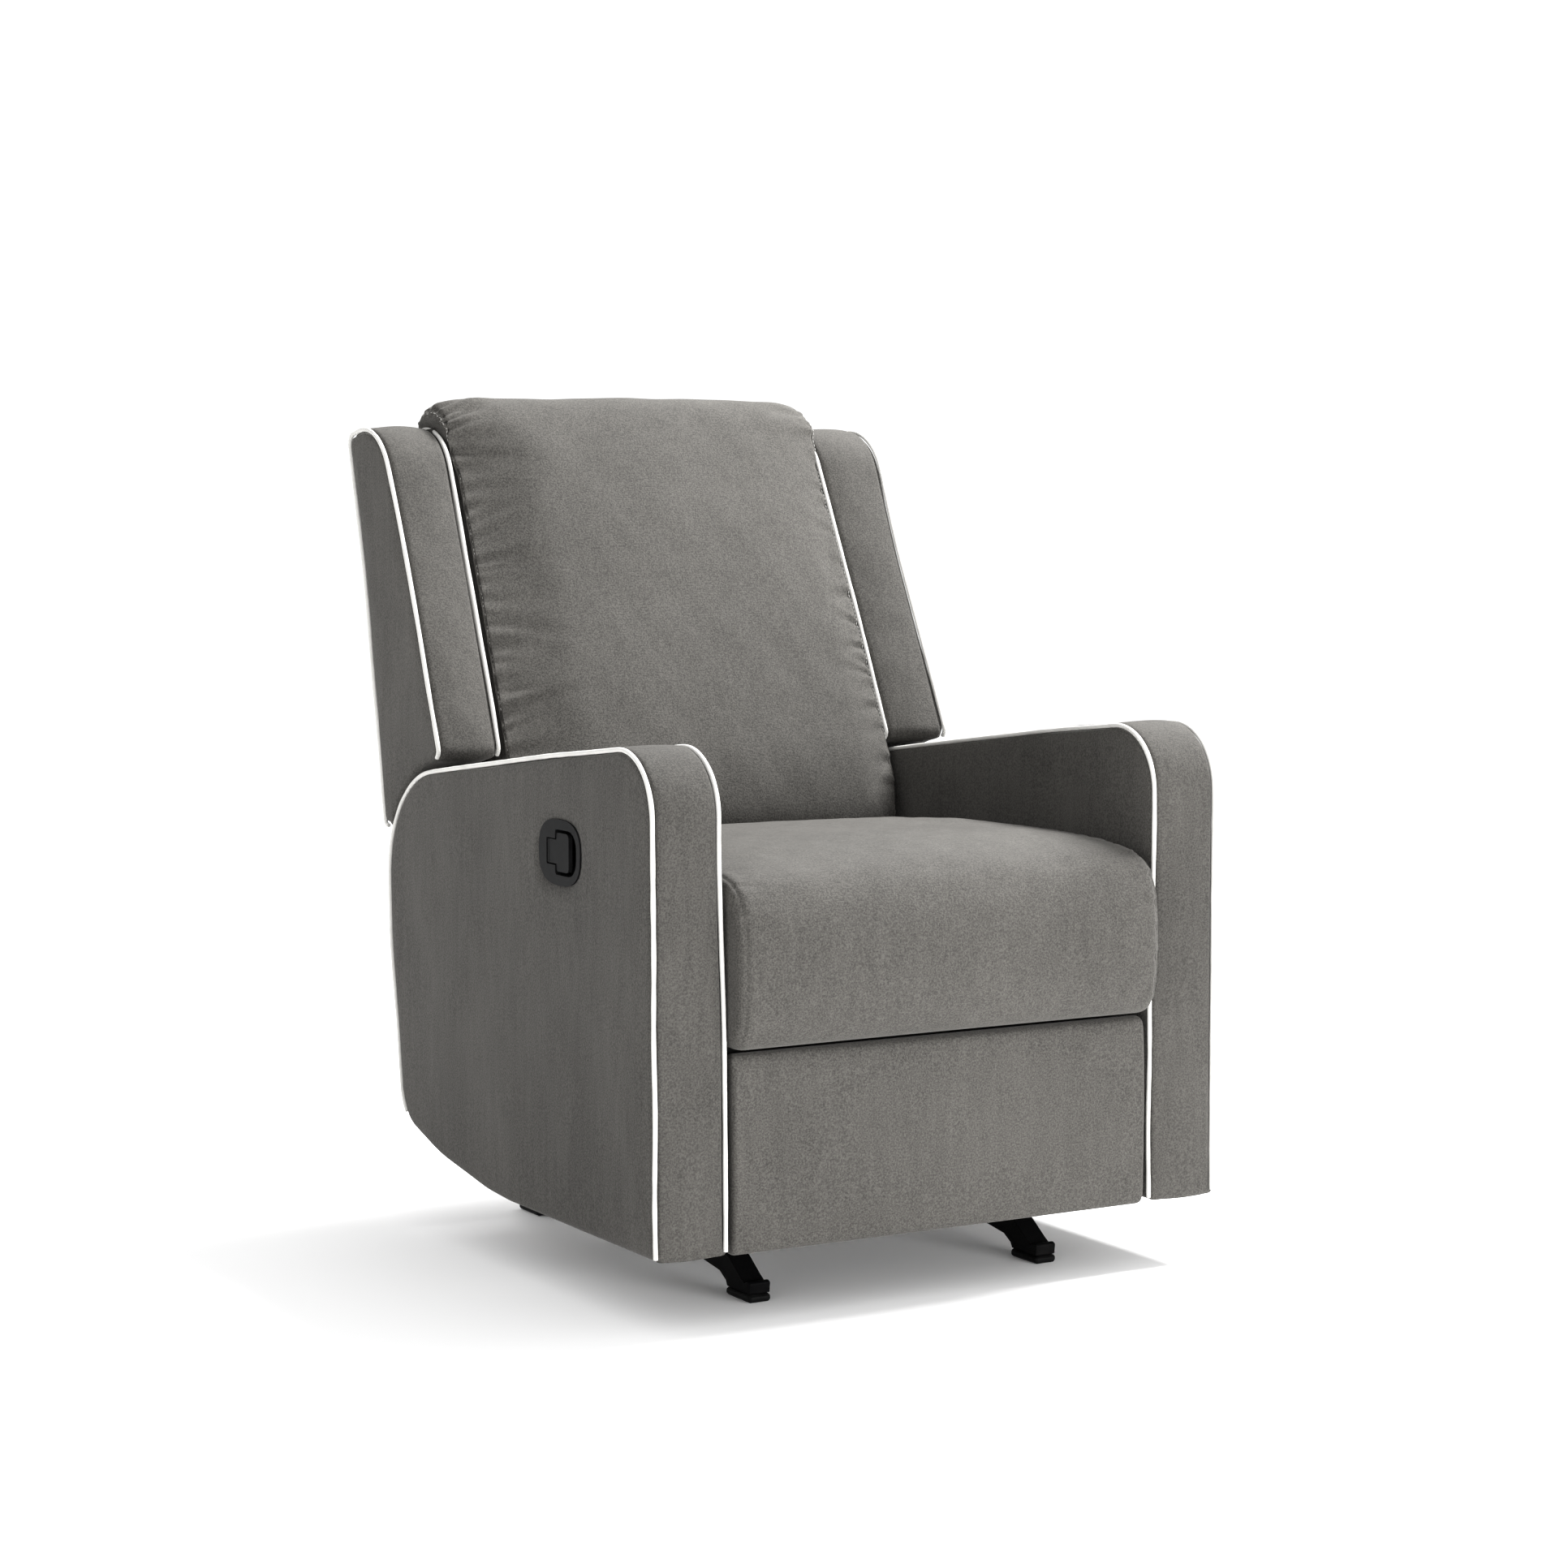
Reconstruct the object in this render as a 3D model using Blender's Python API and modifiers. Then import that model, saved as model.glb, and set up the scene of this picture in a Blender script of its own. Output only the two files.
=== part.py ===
"""Rocker recliner with wings, piped arms and a fold-out footrest.

Frame: metres, +Z up, the chair faces -Y, origin on the floor under the middle of the chair.
A side profile is written as (depth, height): depth runs backwards from the front of the arms.
"""

import math

import bmesh
import bpy
from mathutils import Matrix, Vector

# ---- driving dimensions (metres) ----------------------------------------------------------
ARM_FRONT_Y = -0.421          # the arms' front face, so that the chair is centred in depth
GAP = 0.0003                  # air kept between pieces that touch
ARC_STEP = math.radians(18)   # longest arc step on a rounded outline

ARM_OUTER_X = 0.384
ARM_INNER_X = 0.290
ARM_BOTTOM_Z = 0.083
PANEL_THICK = 0.008           # padded cover sheets of the arms
PIPING_R = 0.0035
PIPING_INSET = 0.0025         # centre of the piping, in from both faces of its edge

CUSHION_HALF = 0.2885
SEAT_BOTTOM_Z = 0.3145
SEAT_RAIL_Z = (0.299, 0.314)
SEAT_RAIL_HALF = 0.2893

BACK_FOOT = Vector((0.740, 0.513))
BACK_RAKE = math.radians(14.5)
BACK_PANEL_THICK = 0.008
BACK_FRAME_THICK = 0.020
BACK_FRAME_HALF = 0.270
WING_X = (0.2855, 0.3755)     # inner and outer face of a wing at its foot
WING_LEAN = 0.0300            # how far a wing leans inwards per metre of height
WING_FOOT_Z = 0.600
WING_TAIL_Z = 0.5030          # the lowest point of a wing, behind the arm
WING_INSET = 0.0044           # the stuffed body stays this far inside the piped outline
NOTCH_GAP = 0.010

RAIL_X = (0.1865, 0.2145)       # base rail, across
CAM_X = (0.190, 0.2217)
RAIL_MIDDLE = 0.386          # the base is mirrored front to rear about this depth
PLATE_X = (0.222, 0.227)
LINK_IN_X = (0.2330, 0.2380)  # inner layer of the footrest linkage
LINK_OUT_X = (0.2385, 0.2435)
BAR_HALF = 0.009              # half width of a link bar
PIN_R = 0.005
HOLE_R = 0.0053
RAIL_TOP_Z = 0.078
ROCKER_R = 0.350
ROCKER_LIFT = 0.005           # room under the cam, see the rocking axis
SPRING_X = 0.163
SPRING_DEPTH = 0.310

# ---- joint axes, as (depth, height) --------------------------------------------------------
ROCK_AXIS = (0.375, RAIL_TOP_Z)
RECLINE_AXIS = (0.600, 0.400)
DRIVE_AXIS = (0.135, 0.284)   # torque tube of the footrest
KNEE_AXIS = (0.1648, 0.1115)  # between the rear and the front link
TOE_AXIS = (0.0583, 0.2844)   # between the front link and the footrest panel

BEZEL_FACE_X = -ARM_OUTER_X - 0.0025
BEZEL_CENTRE = (0.2255, 0.521)
BEZEL_HALF = (0.0525, 0.0385)
CUP_DEPTH = 0.0225
POCKET_DEPTH = 0.0200
PADDLE_X = (BEZEL_FACE_X + 0.001, BEZEL_FACE_X + 0.006)
HANDLE_AXIS = (BEZEL_FACE_X + 0.0035, 0.2545)  # x and depth of the handle's upright pin

SIDE_ON = (math.radians(90), 0.0, math.radians(90))  # an outline's x is depth, its y height


# ---- scene ---------------------------------------------------------------------------------
for old in list(bpy.data.objects):
    bpy.data.objects.remove(old, do_unlink=True)
CHAIR = bpy.data.collections.new("rocker_recliner")
CUTTERS = bpy.data.collections.new("cutters")
for group in (CHAIR, CUTTERS):
    bpy.context.scene.collection.children.link(group)


def material(name, colour, roughness, metallic=0.0):
    mat = bpy.data.materials.new(name)
    mat.use_nodes = True
    shader = mat.node_tree.nodes["Principled BSDF"]
    shader.inputs["Base Color"].default_value = (*colour, 1.0)
    shader.inputs["Roughness"].default_value = roughness
    shader.inputs["Metallic"].default_value = metallic
    return mat


FABRIC = material("grey_velour", (0.110, 0.104, 0.095), 0.9)
PIPING = material("cream_piping", (0.72, 0.71, 0.68), 0.8)
STEEL = material("black_steel", (0.012, 0.012, 0.013), 0.45, 0.6)
SPRING = material("spring_wire", (0.25, 0.25, 0.26), 0.4, 0.9)
WOOD = material("frame_wood", (0.46, 0.31, 0.17), 0.7)
PLASTIC = material("black_plastic", (0.018, 0.019, 0.020), 0.5)
RUBBER = material("glide_rubber", (0.010, 0.010, 0.010), 0.6)


# ---- helpers -------------------------------------------------------------------------------
def world(x, depth, height):
    return Vector((x, ARM_FRONT_Y + depth, height))


def mirrored(span, side):
    """The span (low, high) across, on the given side (-1 left, +1 right)."""
    low, high = sorted((span[0] * side, span[1] * side))
    return low, high


def hub(name, x, point, parent=None):
    """An empty on a joint's axis, which carries the pieces that turn about it."""
    empty = bpy.data.objects.new(name, None)
    empty.empty_display_size = 0.03
    CHAIR.objects.link(empty)
    empty.location = world(x, *point)
    if parent:
        empty.location -= parent.matrix_world.translation
        empty.parent = parent
    bpy.context.view_layer.update()
    return empty


def place(obj, mat, parent):
    """Give an object its material and parent, and keep it where it is."""
    obj.data.materials.append(mat)
    CHAIR.objects.link(obj)
    if parent:
        obj.parent = parent
        obj.matrix_parent_inverse = parent.matrix_world.inverted()
    return obj


def rounded(corners):
    """Outline points from (depth, height, radius) corners, each rounded by its radius."""
    points = []
    count = len(corners)
    for i, (depth, height, radius) in enumerate(corners):
        here = Vector((depth, height))
        before = (Vector(corners[i - 1][:2]) - here).normalized()
        after = (Vector(corners[(i + 1) % count][:2]) - here).normalized()
        turn = math.pi - before.angle(after)
        if radius == 0 or turn < 0.01:
            points.append(here)
            continue
        reach = radius * math.tan(turn / 2)
        centre = here + (before + after).normalized() * (radius / math.cos(turn / 2))
        start = here + before * reach - centre
        sweep = turn if start.cross(here + after * reach - centre) > 0 else -turn
        steps = max(2, math.ceil(turn / ARC_STEP))
        for k in range(steps + 1):
            points.append(centre + Matrix.Rotation(sweep * k / steps, 2) @ start)
    return points


def area(points):
    return 0.5 * sum(a.cross(b) for a, b in zip(points, points[1:] + points[:1]))


def normals(points):
    """Outward mitre vector at each point of a closed outline."""
    sign = 1 if area(points) > 0 else -1
    out = []
    for i, here in enumerate(points):
        to_here = (here - points[i - 1]).normalized()
        from_here = (points[(i + 1) % len(points)] - here).normalized()
        first = Vector((to_here.y, -to_here.x)) * sign
        second = Vector((from_here.y, -from_here.x)) * sign
        middle = (first + second).normalized()
        out.append(middle / max(0.35, middle.dot(first)))
    return out


def inset(points, distance):
    return [p - n * distance for p, n in zip(points, normals(points))]


def plate(name, loops, span, mat, parent=None, rotation=SIDE_ON, location=None):
    """A flat piece: a 2D curve of an outline and its holes, as thick as its span."""
    curve = bpy.data.curves.new(name, "CURVE")
    curve.dimensions = "2D"
    curve.fill_mode = "BOTH"
    curve.extrude = (span[1] - span[0]) / 2
    for loop in loops:
        spline = curve.splines.new("POLY")
        spline.points.add(len(loop) - 1)
        for point, (u, v) in zip(spline.points, loop):
            point.co = (u, v, 0.0, 1.0)
        spline.use_cyclic_u = True
    obj = bpy.data.objects.new(name, curve)
    obj.rotation_euler = rotation
    obj.location = location or world((span[0] + span[1]) / 2, 0.0, 0.0)
    return place(obj, mat, parent)


def as_mesh(obj):
    """Turn a curve object into a mesh object with welded caps, for cutting or joining."""
    bpy.context.view_layer.update()
    graph = bpy.context.evaluated_depsgraph_get()
    mesh = bpy.data.meshes.new_from_object(obj.evaluated_get(graph))
    form = bmesh.new()
    form.from_mesh(mesh)
    bmesh.ops.remove_doubles(form, verts=form.verts, dist=1e-6)
    bmesh.ops.recalc_face_normals(form, faces=form.faces)
    form.to_mesh(mesh)
    form.free()
    name, parent, matrix = obj.name, obj.parent, obj.matrix_world.copy()
    bpy.data.objects.remove(obj, do_unlink=True)
    solid = bpy.data.objects.new(name, mesh)
    CHAIR.objects.link(solid)
    solid.matrix_world = matrix
    if parent:
        solid.parent = parent
        solid.matrix_parent_inverse = parent.matrix_world.inverted()
    return solid


def combine(target, tool, operation):
    """Cut a tool out of a target, or join it on, and keep the tool out of the chair."""
    CHAIR.objects.unlink(tool)
    CUTTERS.objects.link(tool)
    tool.hide_render = True
    tool.display_type = "WIRE"
    boolean = target.modifiers.new(operation.lower(), "BOOLEAN")
    boolean.operation = operation
    boolean.object = tool


def bevel(obj, width, segments=1):
    mod = obj.modifiers.new("edge", "BEVEL")
    mod.width = width
    mod.segments = segments
    mod.limit_method = "ANGLE"
    mod.angle_limit = math.radians(50)
    mod.use_clamp_overlap = False


def box(name, x_span, depth_span, z_span, mat, parent=None, edge=0.0):
    form = bmesh.new()
    bmesh.ops.create_cube(form, size=1.0)
    size = [span[1] - span[0] for span in (x_span, depth_span, z_span)]
    bmesh.ops.scale(form, vec=size, verts=form.verts)
    mesh = bpy.data.meshes.new(name)
    form.to_mesh(mesh)
    form.free()
    obj = bpy.data.objects.new(name, mesh)
    middle = [(span[0] + span[1]) / 2 for span in (x_span, depth_span, z_span)]
    obj.location = world(*middle)
    place(obj, mat, parent)
    if edge:
        bevel(obj, edge)
    return obj


def rod(name, x_span, point, radius, mat, parent=None, sides=16):
    """A round bar across the chair."""
    form = bmesh.new()
    bmesh.ops.create_cone(form, cap_ends=True, segments=sides, radius1=radius,
                          radius2=radius, depth=x_span[1] - x_span[0])
    bmesh.ops.rotate(form, matrix=Matrix.Rotation(math.radians(90), 3, "Y"),
                     verts=form.verts)
    mesh = bpy.data.meshes.new(name)
    form.to_mesh(mesh)
    form.free()
    obj = bpy.data.objects.new(name, mesh)
    obj.location = world((x_span[0] + x_span[1]) / 2, *point)
    place(obj, mat, parent)
    mesh.shade_smooth()
    mesh.set_sharp_from_angle(angle=math.radians(40))
    return obj


def tube(name, points, radius, mat, parent=None, resolution=1):
    """A wire or piping along world points."""
    curve = bpy.data.curves.new(name, "CURVE")
    curve.dimensions = "3D"
    curve.bevel_depth = radius
    curve.bevel_resolution = resolution
    curve.use_fill_caps = True
    spline = curve.splines.new("POLY")
    spline.points.add(len(points) - 1)
    for point, position in zip(spline.points, points):
        point.co = (*position, 1.0)
    return place(bpy.data.objects.new(name, curve), mat, parent)


def circle(centre, radius, count=16):
    steps = [2 * math.pi * k / count for k in range(count)]
    return [Vector((centre[0] + radius * math.cos(t), centre[1] + radius * math.sin(t)))
            for t in steps]


def superellipse(centre, half, power=2.7, count=28):
    points = []
    for k in range(count):
        t = 2 * math.pi * k / count
        c, s = math.cos(t), math.sin(t)
        points.append(Vector((
            centre[0] + half[0] * math.copysign(abs(c) ** (2 / power), c),
            centre[1] + half[1] * math.copysign(abs(s) ** (2 / power), s))))
    return points


def bar_outline(a, b, half):
    """A flat link with round ends at a and b."""
    a, b = Vector(a), Vector(b)
    along = (b - a).normalized()
    start = math.atan2(along.y, along.x) + math.pi / 2
    points = []
    for centre, first in ((a, start), (b, start + math.pi)):
        for k in range(9):
            t = first + math.pi * k / 8
            points.append(centre + Vector((math.cos(t), math.sin(t))) * half)
    return points


def cushion(name, outline, proud, half, edge, crown, mat, parent, lean=0.0):
    """A padded block lofted across the chair.

    outline is its side profile, and proud says how much of the crown each point takes.
    edge is the radius of its rounded sides; lean narrows it per metre of height.
    """
    push = normals(outline)
    stations = []
    for k in range(4):
        t = math.radians(90 - 30 * k)
        stations.append((half - edge + edge * math.sin(t), edge * (1 - math.cos(t))))
    stations += [(half * 0.62, 0.0), (half * 0.30, 0.0), (0.0, 0.0)]
    across = [(-x, cut) for x, cut in stations] + [(x, cut) for x, cut in stations[-2::-1]]
    low = min(p.y for p in outline)
    form = bmesh.new()
    rings = []
    for x, cut in across:
        swell = crown * (1 - (x / half) ** 2)
        ring = []
        for point, normal, share in zip(outline, push, proud):
            at = point + normal * (swell * share - cut)
            narrow = 1 - lean * (at.y - low) / half
            ring.append(form.verts.new(world(x * narrow, *at)))
        rings.append(ring)
    count = len(outline)
    for one, two in zip(rings, rings[1:]):
        for i in range(count):
            j = (i + 1) % count
            form.faces.new((one[i], one[j], two[j], two[i]))
    form.faces.new(rings[0])
    form.faces.new(rings[-1])
    bmesh.ops.recalc_face_normals(form, faces=form.faces)
    mesh = bpy.data.meshes.new(name)
    form.to_mesh(mesh)
    form.free()
    mesh.shade_smooth()
    return place(bpy.data.objects.new(name, mesh), mat, parent)


def back_point(along, behind):
    """A point of the side profile, given along and behind the back's rear plane."""
    up = Vector((math.sin(BACK_RAKE), math.cos(BACK_RAKE)))
    rear = Vector((math.cos(BACK_RAKE), -math.sin(BACK_RAKE)))
    return Vector(BACK_FOOT) + up * along + rear * behind


# ---- shared outlines -----------------------------------------------------------------------
ARM = rounded([
    (0.000, ARM_BOTTOM_Z, 0), (0.005, 0.661, 0.078), (0.250, 0.6335, 0.6),
    (0.721, 0.5715, 0.145), (0.713, 0.365, 0), (0.696, 0.258, 0), (0.684, 0.172, 0),
    (0.669, 0.137, 0), (0.572, 0.108, 0), (0.435, 0.0875, 0), (0.375, ARM_BOTTOM_Z + 0.001, 0),
])
ARM_REAR_BOTTOM = 0.15        # the piping and the border end here at the rear


def arm_path(distance):
    """The arm's edge from its front foot over the top to its rear foot, inset."""
    points = inset(ARM, distance)
    last = max(i for i, p in enumerate(ARM) if p.x > 0.6 and p.y > ARM_REAR_BOTTOM)
    path = points[:last + 2]
    path[0] = Vector((path[0].x, ARM_BOTTOM_Z))
    return path


# ---- bodies and their axes -----------------------------------------------------------------
rock = hub("rock_axis", 0.0, ROCK_AXIS)
drive = hub("footrest_drive_axis", 0.0, DRIVE_AXIS, rock)
knee = hub("footrest_knee_axis", 0.0, KNEE_AXIS, drive)
toe = hub("footrest_panel_axis", 0.0, TOE_AXIS, knee)
recline = hub("recline_axis", 0.0, RECLINE_AXIS, rock)
pull = hub("release_axis", HANDLE_AXIS[0], (HANDLE_AXIS[1], BEZEL_CENTRE[1]), rock)
SIDES = (("l", -1), ("r", 1))


# ---- base: two rails with four toes, two crossbars, glides and rocker springs ---------------
def toe_curve(depth, height):
    """Front half of the rail's outline is mirrored to the rear."""
    return (2 * RAIL_MIDDLE - depth, height)


RAIL_HALF_LOWER = [(0.0855, 0.0103), (0.1385, 0.0103), (0.1415, 0.0165), (0.1560, 0.0250),
                   (0.1990, 0.0310), (0.3000, 0.0350)]
RAIL_HALF_UPPER = [(0.3000, RAIL_TOP_Z), (0.2620, 0.0765), (0.2130, 0.0700), (0.1670, 0.0590),
                   (0.1330, 0.0460), (0.1060, 0.0275), (0.0970, 0.0225), (0.0895, 0.0255),
                   (0.0840, 0.0235)]
GLIDE = (0.0835, 0.1405)
rail_outline = [Vector(p) for p in RAIL_HALF_LOWER]
rail_outline += [Vector(toe_curve(*p)) for p in reversed(RAIL_HALF_LOWER)]
rail_outline += [Vector(toe_curve(*p)) for p in reversed(RAIL_HALF_UPPER)]
rail_outline += [Vector(p) for p in RAIL_HALF_UPPER]

for tag, side in SIDES:
    plate("base_rail_" + tag, [rail_outline], mirrored(RAIL_X, side), STEEL)
    for end, spans in (("front", GLIDE),
                       ("rear", (2 * RAIL_MIDDLE - GLIDE[1], 2 * RAIL_MIDDLE - GLIDE[0]))):
        box(f"foot_glide_{end}_{tag}", mirrored((RAIL_X[0] - 0.001, RAIL_X[1] + 0.001), side),
            spans, (0.0, 0.0100), RUBBER, edge=0.003)
    box("spring_seat_" + tag, mirrored((0.140, RAIL_X[0] - GAP), side),
        (SPRING_DEPTH - 0.025, SPRING_DEPTH + 0.025), (0.072, RAIL_TOP_Z), STEEL)
    coil = []
    for k in range(49):
        t = 2 * math.pi * k / 12
        coil.append(world(side * SPRING_X + 0.014 * math.cos(t),
                          SPRING_DEPTH + 0.014 * math.sin(t), 0.0812 + 0.1156 * k / 48))
    tube("rocker_spring_" + tag, coil, 0.0024, SPRING)
for end, spans in (("front", (0.236, 0.262)), ("rear", (0.488, 0.514))):
    box(f"base_crossbar_{end}", (-RAIL_X[0] + GAP, RAIL_X[0] - GAP), spans,
        (0.042, 0.068), STEEL, edge=0.003)

# ---- chassis: cams, side plates, seat frame -------------------------------------------------
cam_centre = Vector((ROCK_AXIS[0], RAIL_TOP_Z + ROCKER_LIFT + ROCKER_R))
cam_outline = [cam_centre + Vector((math.sin(a), -math.cos(a))) * ROCKER_R
               for a in (math.radians(-18 + 3 * k) for k in range(13))]
cam_outline += [Vector((0.468, 0.215)), Vector((0.282, 0.215))]

plate_corners = [
    (0.115, 0.2985, 0.004), (0.115, 0.262, 0.015), (0.200, 0.262, 0.03), (0.275, 0.130, 0.02),
    (0.475, 0.130, 0.02), (0.560, 0.262, 0.03), (0.622, 0.385, 0.012), (0.610, 0.420, 0.012),
    (0.585, 0.418, 0.012), (0.552, 0.335, 0.01), (0.5485, 0.2985, 0),
]
for tag, side in SIDES:
    plate("rocker_cam_" + tag, [cam_outline], mirrored(CAM_X, side), STEEL, rock)
    holes = [circle(DRIVE_AXIS, 0.0073), circle(RECLINE_AXIS, 0.0063)]
    plate("side_plate_" + tag, [rounded(plate_corners)] + holes,
          mirrored(PLATE_X, side), STEEL, rock)
    box("spring_cap_" + tag, mirrored((0.140, CAM_X[0] - GAP), side),
        (SPRING_DEPTH - 0.025, SPRING_DEPTH + 0.025), (0.200, 0.206), STEEL, rock)
    box("seat_rail_" + tag, mirrored((0.212, SEAT_RAIL_HALF), side), (0.0850, 0.5150),
        SEAT_RAIL_Z, WOOD, rock)
for end, spans in (("front", (0.0470, 0.0847)), ("rear", (0.5153, 0.5445))):
    box("seat_rail_" + end, (-SEAT_RAIL_HALF, SEAT_RAIL_HALF), spans, SEAT_RAIL_Z, WOOD, rock)

for index, x in enumerate((-0.13, 0.0, 0.13), start=1):
    zigzag = []
    for k in range(15):
        zigzag.append(world(x + 0.028 * (-1) ** k, 0.0915 + 0.030 * k, 0.307))
        if k < 14:
            zigzag.append(world(x + 0.028 * (-1) ** k, 0.0915 + 0.030 * k + 0.018, 0.307))
    tube(f"seat_spring_{index}", zigzag, 0.0022, SPRING, rock)

SEAT = [Vector(p) for p in (
    (0.050, SEAT_BOTTOM_Z), (0.006, SEAT_BOTTOM_Z), (-0.014, 0.326), (-0.025, 0.352),
    (-0.028, 0.390), (-0.027, 0.435), (-0.020, 0.470), (-0.002, 0.496), (0.040, 0.511),
    (0.120, 0.517), (0.240, 0.518), (0.380, 0.513), (0.480, 0.504), (0.524, 0.495),
    (0.5350, 0.480), (0.5350, 0.400), (0.5350, 0.330), (0.525, SEAT_BOTTOM_Z),
    (0.300, SEAT_BOTTOM_Z))]
SEAT_PROUD = [0, 0, 0.1, 0.2, 0.2, 0.2, 0.4, 0.7, 1, 1, 1, 1, 0.8, 0.4, 0, 0, 0, 0, 0]
cushion("seat_cushion", SEAT, SEAT_PROUD, CUSHION_HALF, 0.018, 0.007, FABRIC, rock)

# ---- arms ----------------------------------------------------------------------------------
flange = superellipse(BEZEL_CENTRE, BEZEL_HALF)
cup = superellipse(BEZEL_CENTRE, (BEZEL_HALF[0] - 0.004, BEZEL_HALF[1] - 0.004))
panel_hole = superellipse(BEZEL_CENTRE, (BEZEL_HALF[0] - 0.0035, BEZEL_HALF[1] - 0.0035))
sheet = inset(ARM, 2 * PIPING_R - 0.0007)
for tag, side in SIDES:
    outer_loops = [sheet, panel_hole] if side < 0 else [sheet]
    outer_span = (ARM_OUTER_X - PANEL_THICK, ARM_OUTER_X)
    inner_span = (ARM_INNER_X, ARM_INNER_X + PANEL_THICK)
    core_span = (inner_span[1] + GAP, outer_span[0] - GAP)
    plate("arm_outer_panel_" + tag, outer_loops, mirrored(outer_span, side), FABRIC, rock)
    plate("arm_inner_panel_" + tag, [sheet], mirrored(inner_span, side), FABRIC, rock)
    band = arm_path(0.0) + arm_path(PANEL_THICK)[::-1]
    plate("arm_border_" + tag, [band], mirrored(core_span, side), FABRIC, rock)
    core = inset(ARM, PANEL_THICK + GAP)
    plate("arm_frame_" + tag, [core, inset(ARM, 0.045)], mirrored(core_span, side), WOOD, rock)
    for place_name, x in (("outer", ARM_OUTER_X - PIPING_INSET),
                          ("inner", ARM_INNER_X + PIPING_INSET)):
        line = [world(side * x, *p) for p in arm_path(PIPING_INSET)]
        tube(f"arm_piping_{place_name}_{tag}", line, PIPING_R, PIPING, rock)

# ---- release handle in the left arm ---------------------------------------------------------
rim_back = -ARM_OUTER_X - GAP
bezel = as_mesh(plate("handle_bezel", [cup], (rim_back, BEZEL_FACE_X + CUP_DEPTH), PLASTIC,
                      rock))
bezel_rim = as_mesh(plate("bezel_rim", [flange], (BEZEL_FACE_X, rim_back), PLASTIC))
combine(bezel, bezel_rim, "UNION")
POCKET = rounded([
    (0.1825, 0.5475, 0.020), (0.2360, 0.5475, 0.004), (0.2360, 0.5365, 0.0005),
    (0.2580, 0.5365, 0.002), (0.2580, 0.5055, 0.002), (0.2360, 0.5055, 0.0005),
    (0.2360, 0.4945, 0.004), (0.1825, 0.4945, 0.020)])
pocket_x = (BEZEL_FACE_X - 0.005, BEZEL_FACE_X + POCKET_DEPTH)
combine(bezel, as_mesh(plate("bezel_pocket", [POCKET], pocket_x, PLASTIC)), "DIFFERENCE")

PADDLE = rounded([
    (0.2035, 0.5435, 0.006), (0.2345, 0.5435, 0.004), (0.2345, 0.5350, 0.0005),
    (0.2555, 0.5350, 0.001), (0.2555, 0.5070, 0.001), (0.2345, 0.5070, 0.0005),
    (0.2345, 0.4985, 0.004), (0.2035, 0.4985, 0.006)])
paddle = as_mesh(plate("release_handle", [PADDLE], PADDLE_X, PLASTIC, pull))
pin_form = bmesh.new()
bmesh.ops.create_cone(pin_form, cap_ends=True, segments=14, radius1=0.0032, radius2=0.0032,
                      depth=0.0270)
pin_mesh = bpy.data.meshes.new("handle_pin")
pin_form.to_mesh(pin_mesh)
pin_form.free()
handle_pin = bpy.data.objects.new("handle_pin", pin_mesh)
handle_pin.location = world(HANDLE_AXIS[0], HANDLE_AXIS[1], BEZEL_CENTRE[1])
CHAIR.objects.link(handle_pin)
combine(paddle, handle_pin, "UNION")

# ---- footrest: torque tube, two links a side, panel -----------------------------------------
rod("torque_tube", (-LINK_IN_X[0] + GAP, LINK_IN_X[0] - GAP), DRIVE_AXIS, 0.007, STEEL, drive)
BRACKET = rounded([
    (0.0447, 0.225, 0), (0.052, 0.225, 0), (0.068, 0.270, 0.008), (0.068, 0.293, 0.009),
    (0.052, 0.299, 0.004), (0.0447, 0.299, 0)])
for tag, side in SIDES:
    rear = [bar_outline(DRIVE_AXIS, KNEE_AXIS, BAR_HALF), circle(KNEE_AXIS, HOLE_R)]
    plate("footrest_rear_link_" + tag, rear, mirrored(LINK_IN_X, side), STEEL, drive)
    front = as_mesh(plate("footrest_front_link_" + tag,
                          [bar_outline(KNEE_AXIS, TOE_AXIS, BAR_HALF)],
                          mirrored(LINK_OUT_X, side), STEEL, knee))
    for end, point in (("knee", KNEE_AXIS), ("toe", TOE_AXIS)):
        reach = mirrored((LINK_IN_X[0] - 0.001, LINK_OUT_X[0] + 0.001), side)
        combine(front, rod(f"{end}_pin_{tag}", reach, point, PIN_R, STEEL), "UNION")
    plate("footrest_bracket_" + tag, [BRACKET, circle(TOE_AXIS, HOLE_R)],
          mirrored(LINK_IN_X, side), STEEL, toe)
box("footrest_board", (-0.268, 0.268), (0.0290, 0.0443), (0.100, 0.3005), WOOD, toe)
PAD = [Vector(p) for p in (
    (0.0285, 0.080), (0.0060, 0.0785), (-0.0005, 0.088), (-0.0015, 0.150), (-0.0020, 0.198),
    (-0.0015, 0.250), (-0.0005, 0.296), (0.0060, 0.3055), (0.0285, 0.3055), (0.0285, 0.200))]
PAD_PROUD = [0, 0, 0.5, 1, 1, 1, 0.5, 0, 0, 0]
cushion("footrest_pad", PAD, PAD_PROUD, 0.284, 0.006, 0.002, FABRIC, toe)

# ---- back ----------------------------------------------------------------------------------
TILT = (math.radians(90) - BACK_RAKE, 0.0, 0.0)  # an outline's y runs up the back


def back_plate(name, loops, behind, mat):
    """A sheet parallel to the rear plane, from loops of (across, up the back)."""
    middle = back_point(0.0, (behind[0] + behind[1]) / 2)
    return plate(name, loops, behind, mat, recline, TILT, world(0.0, *middle))


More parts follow.
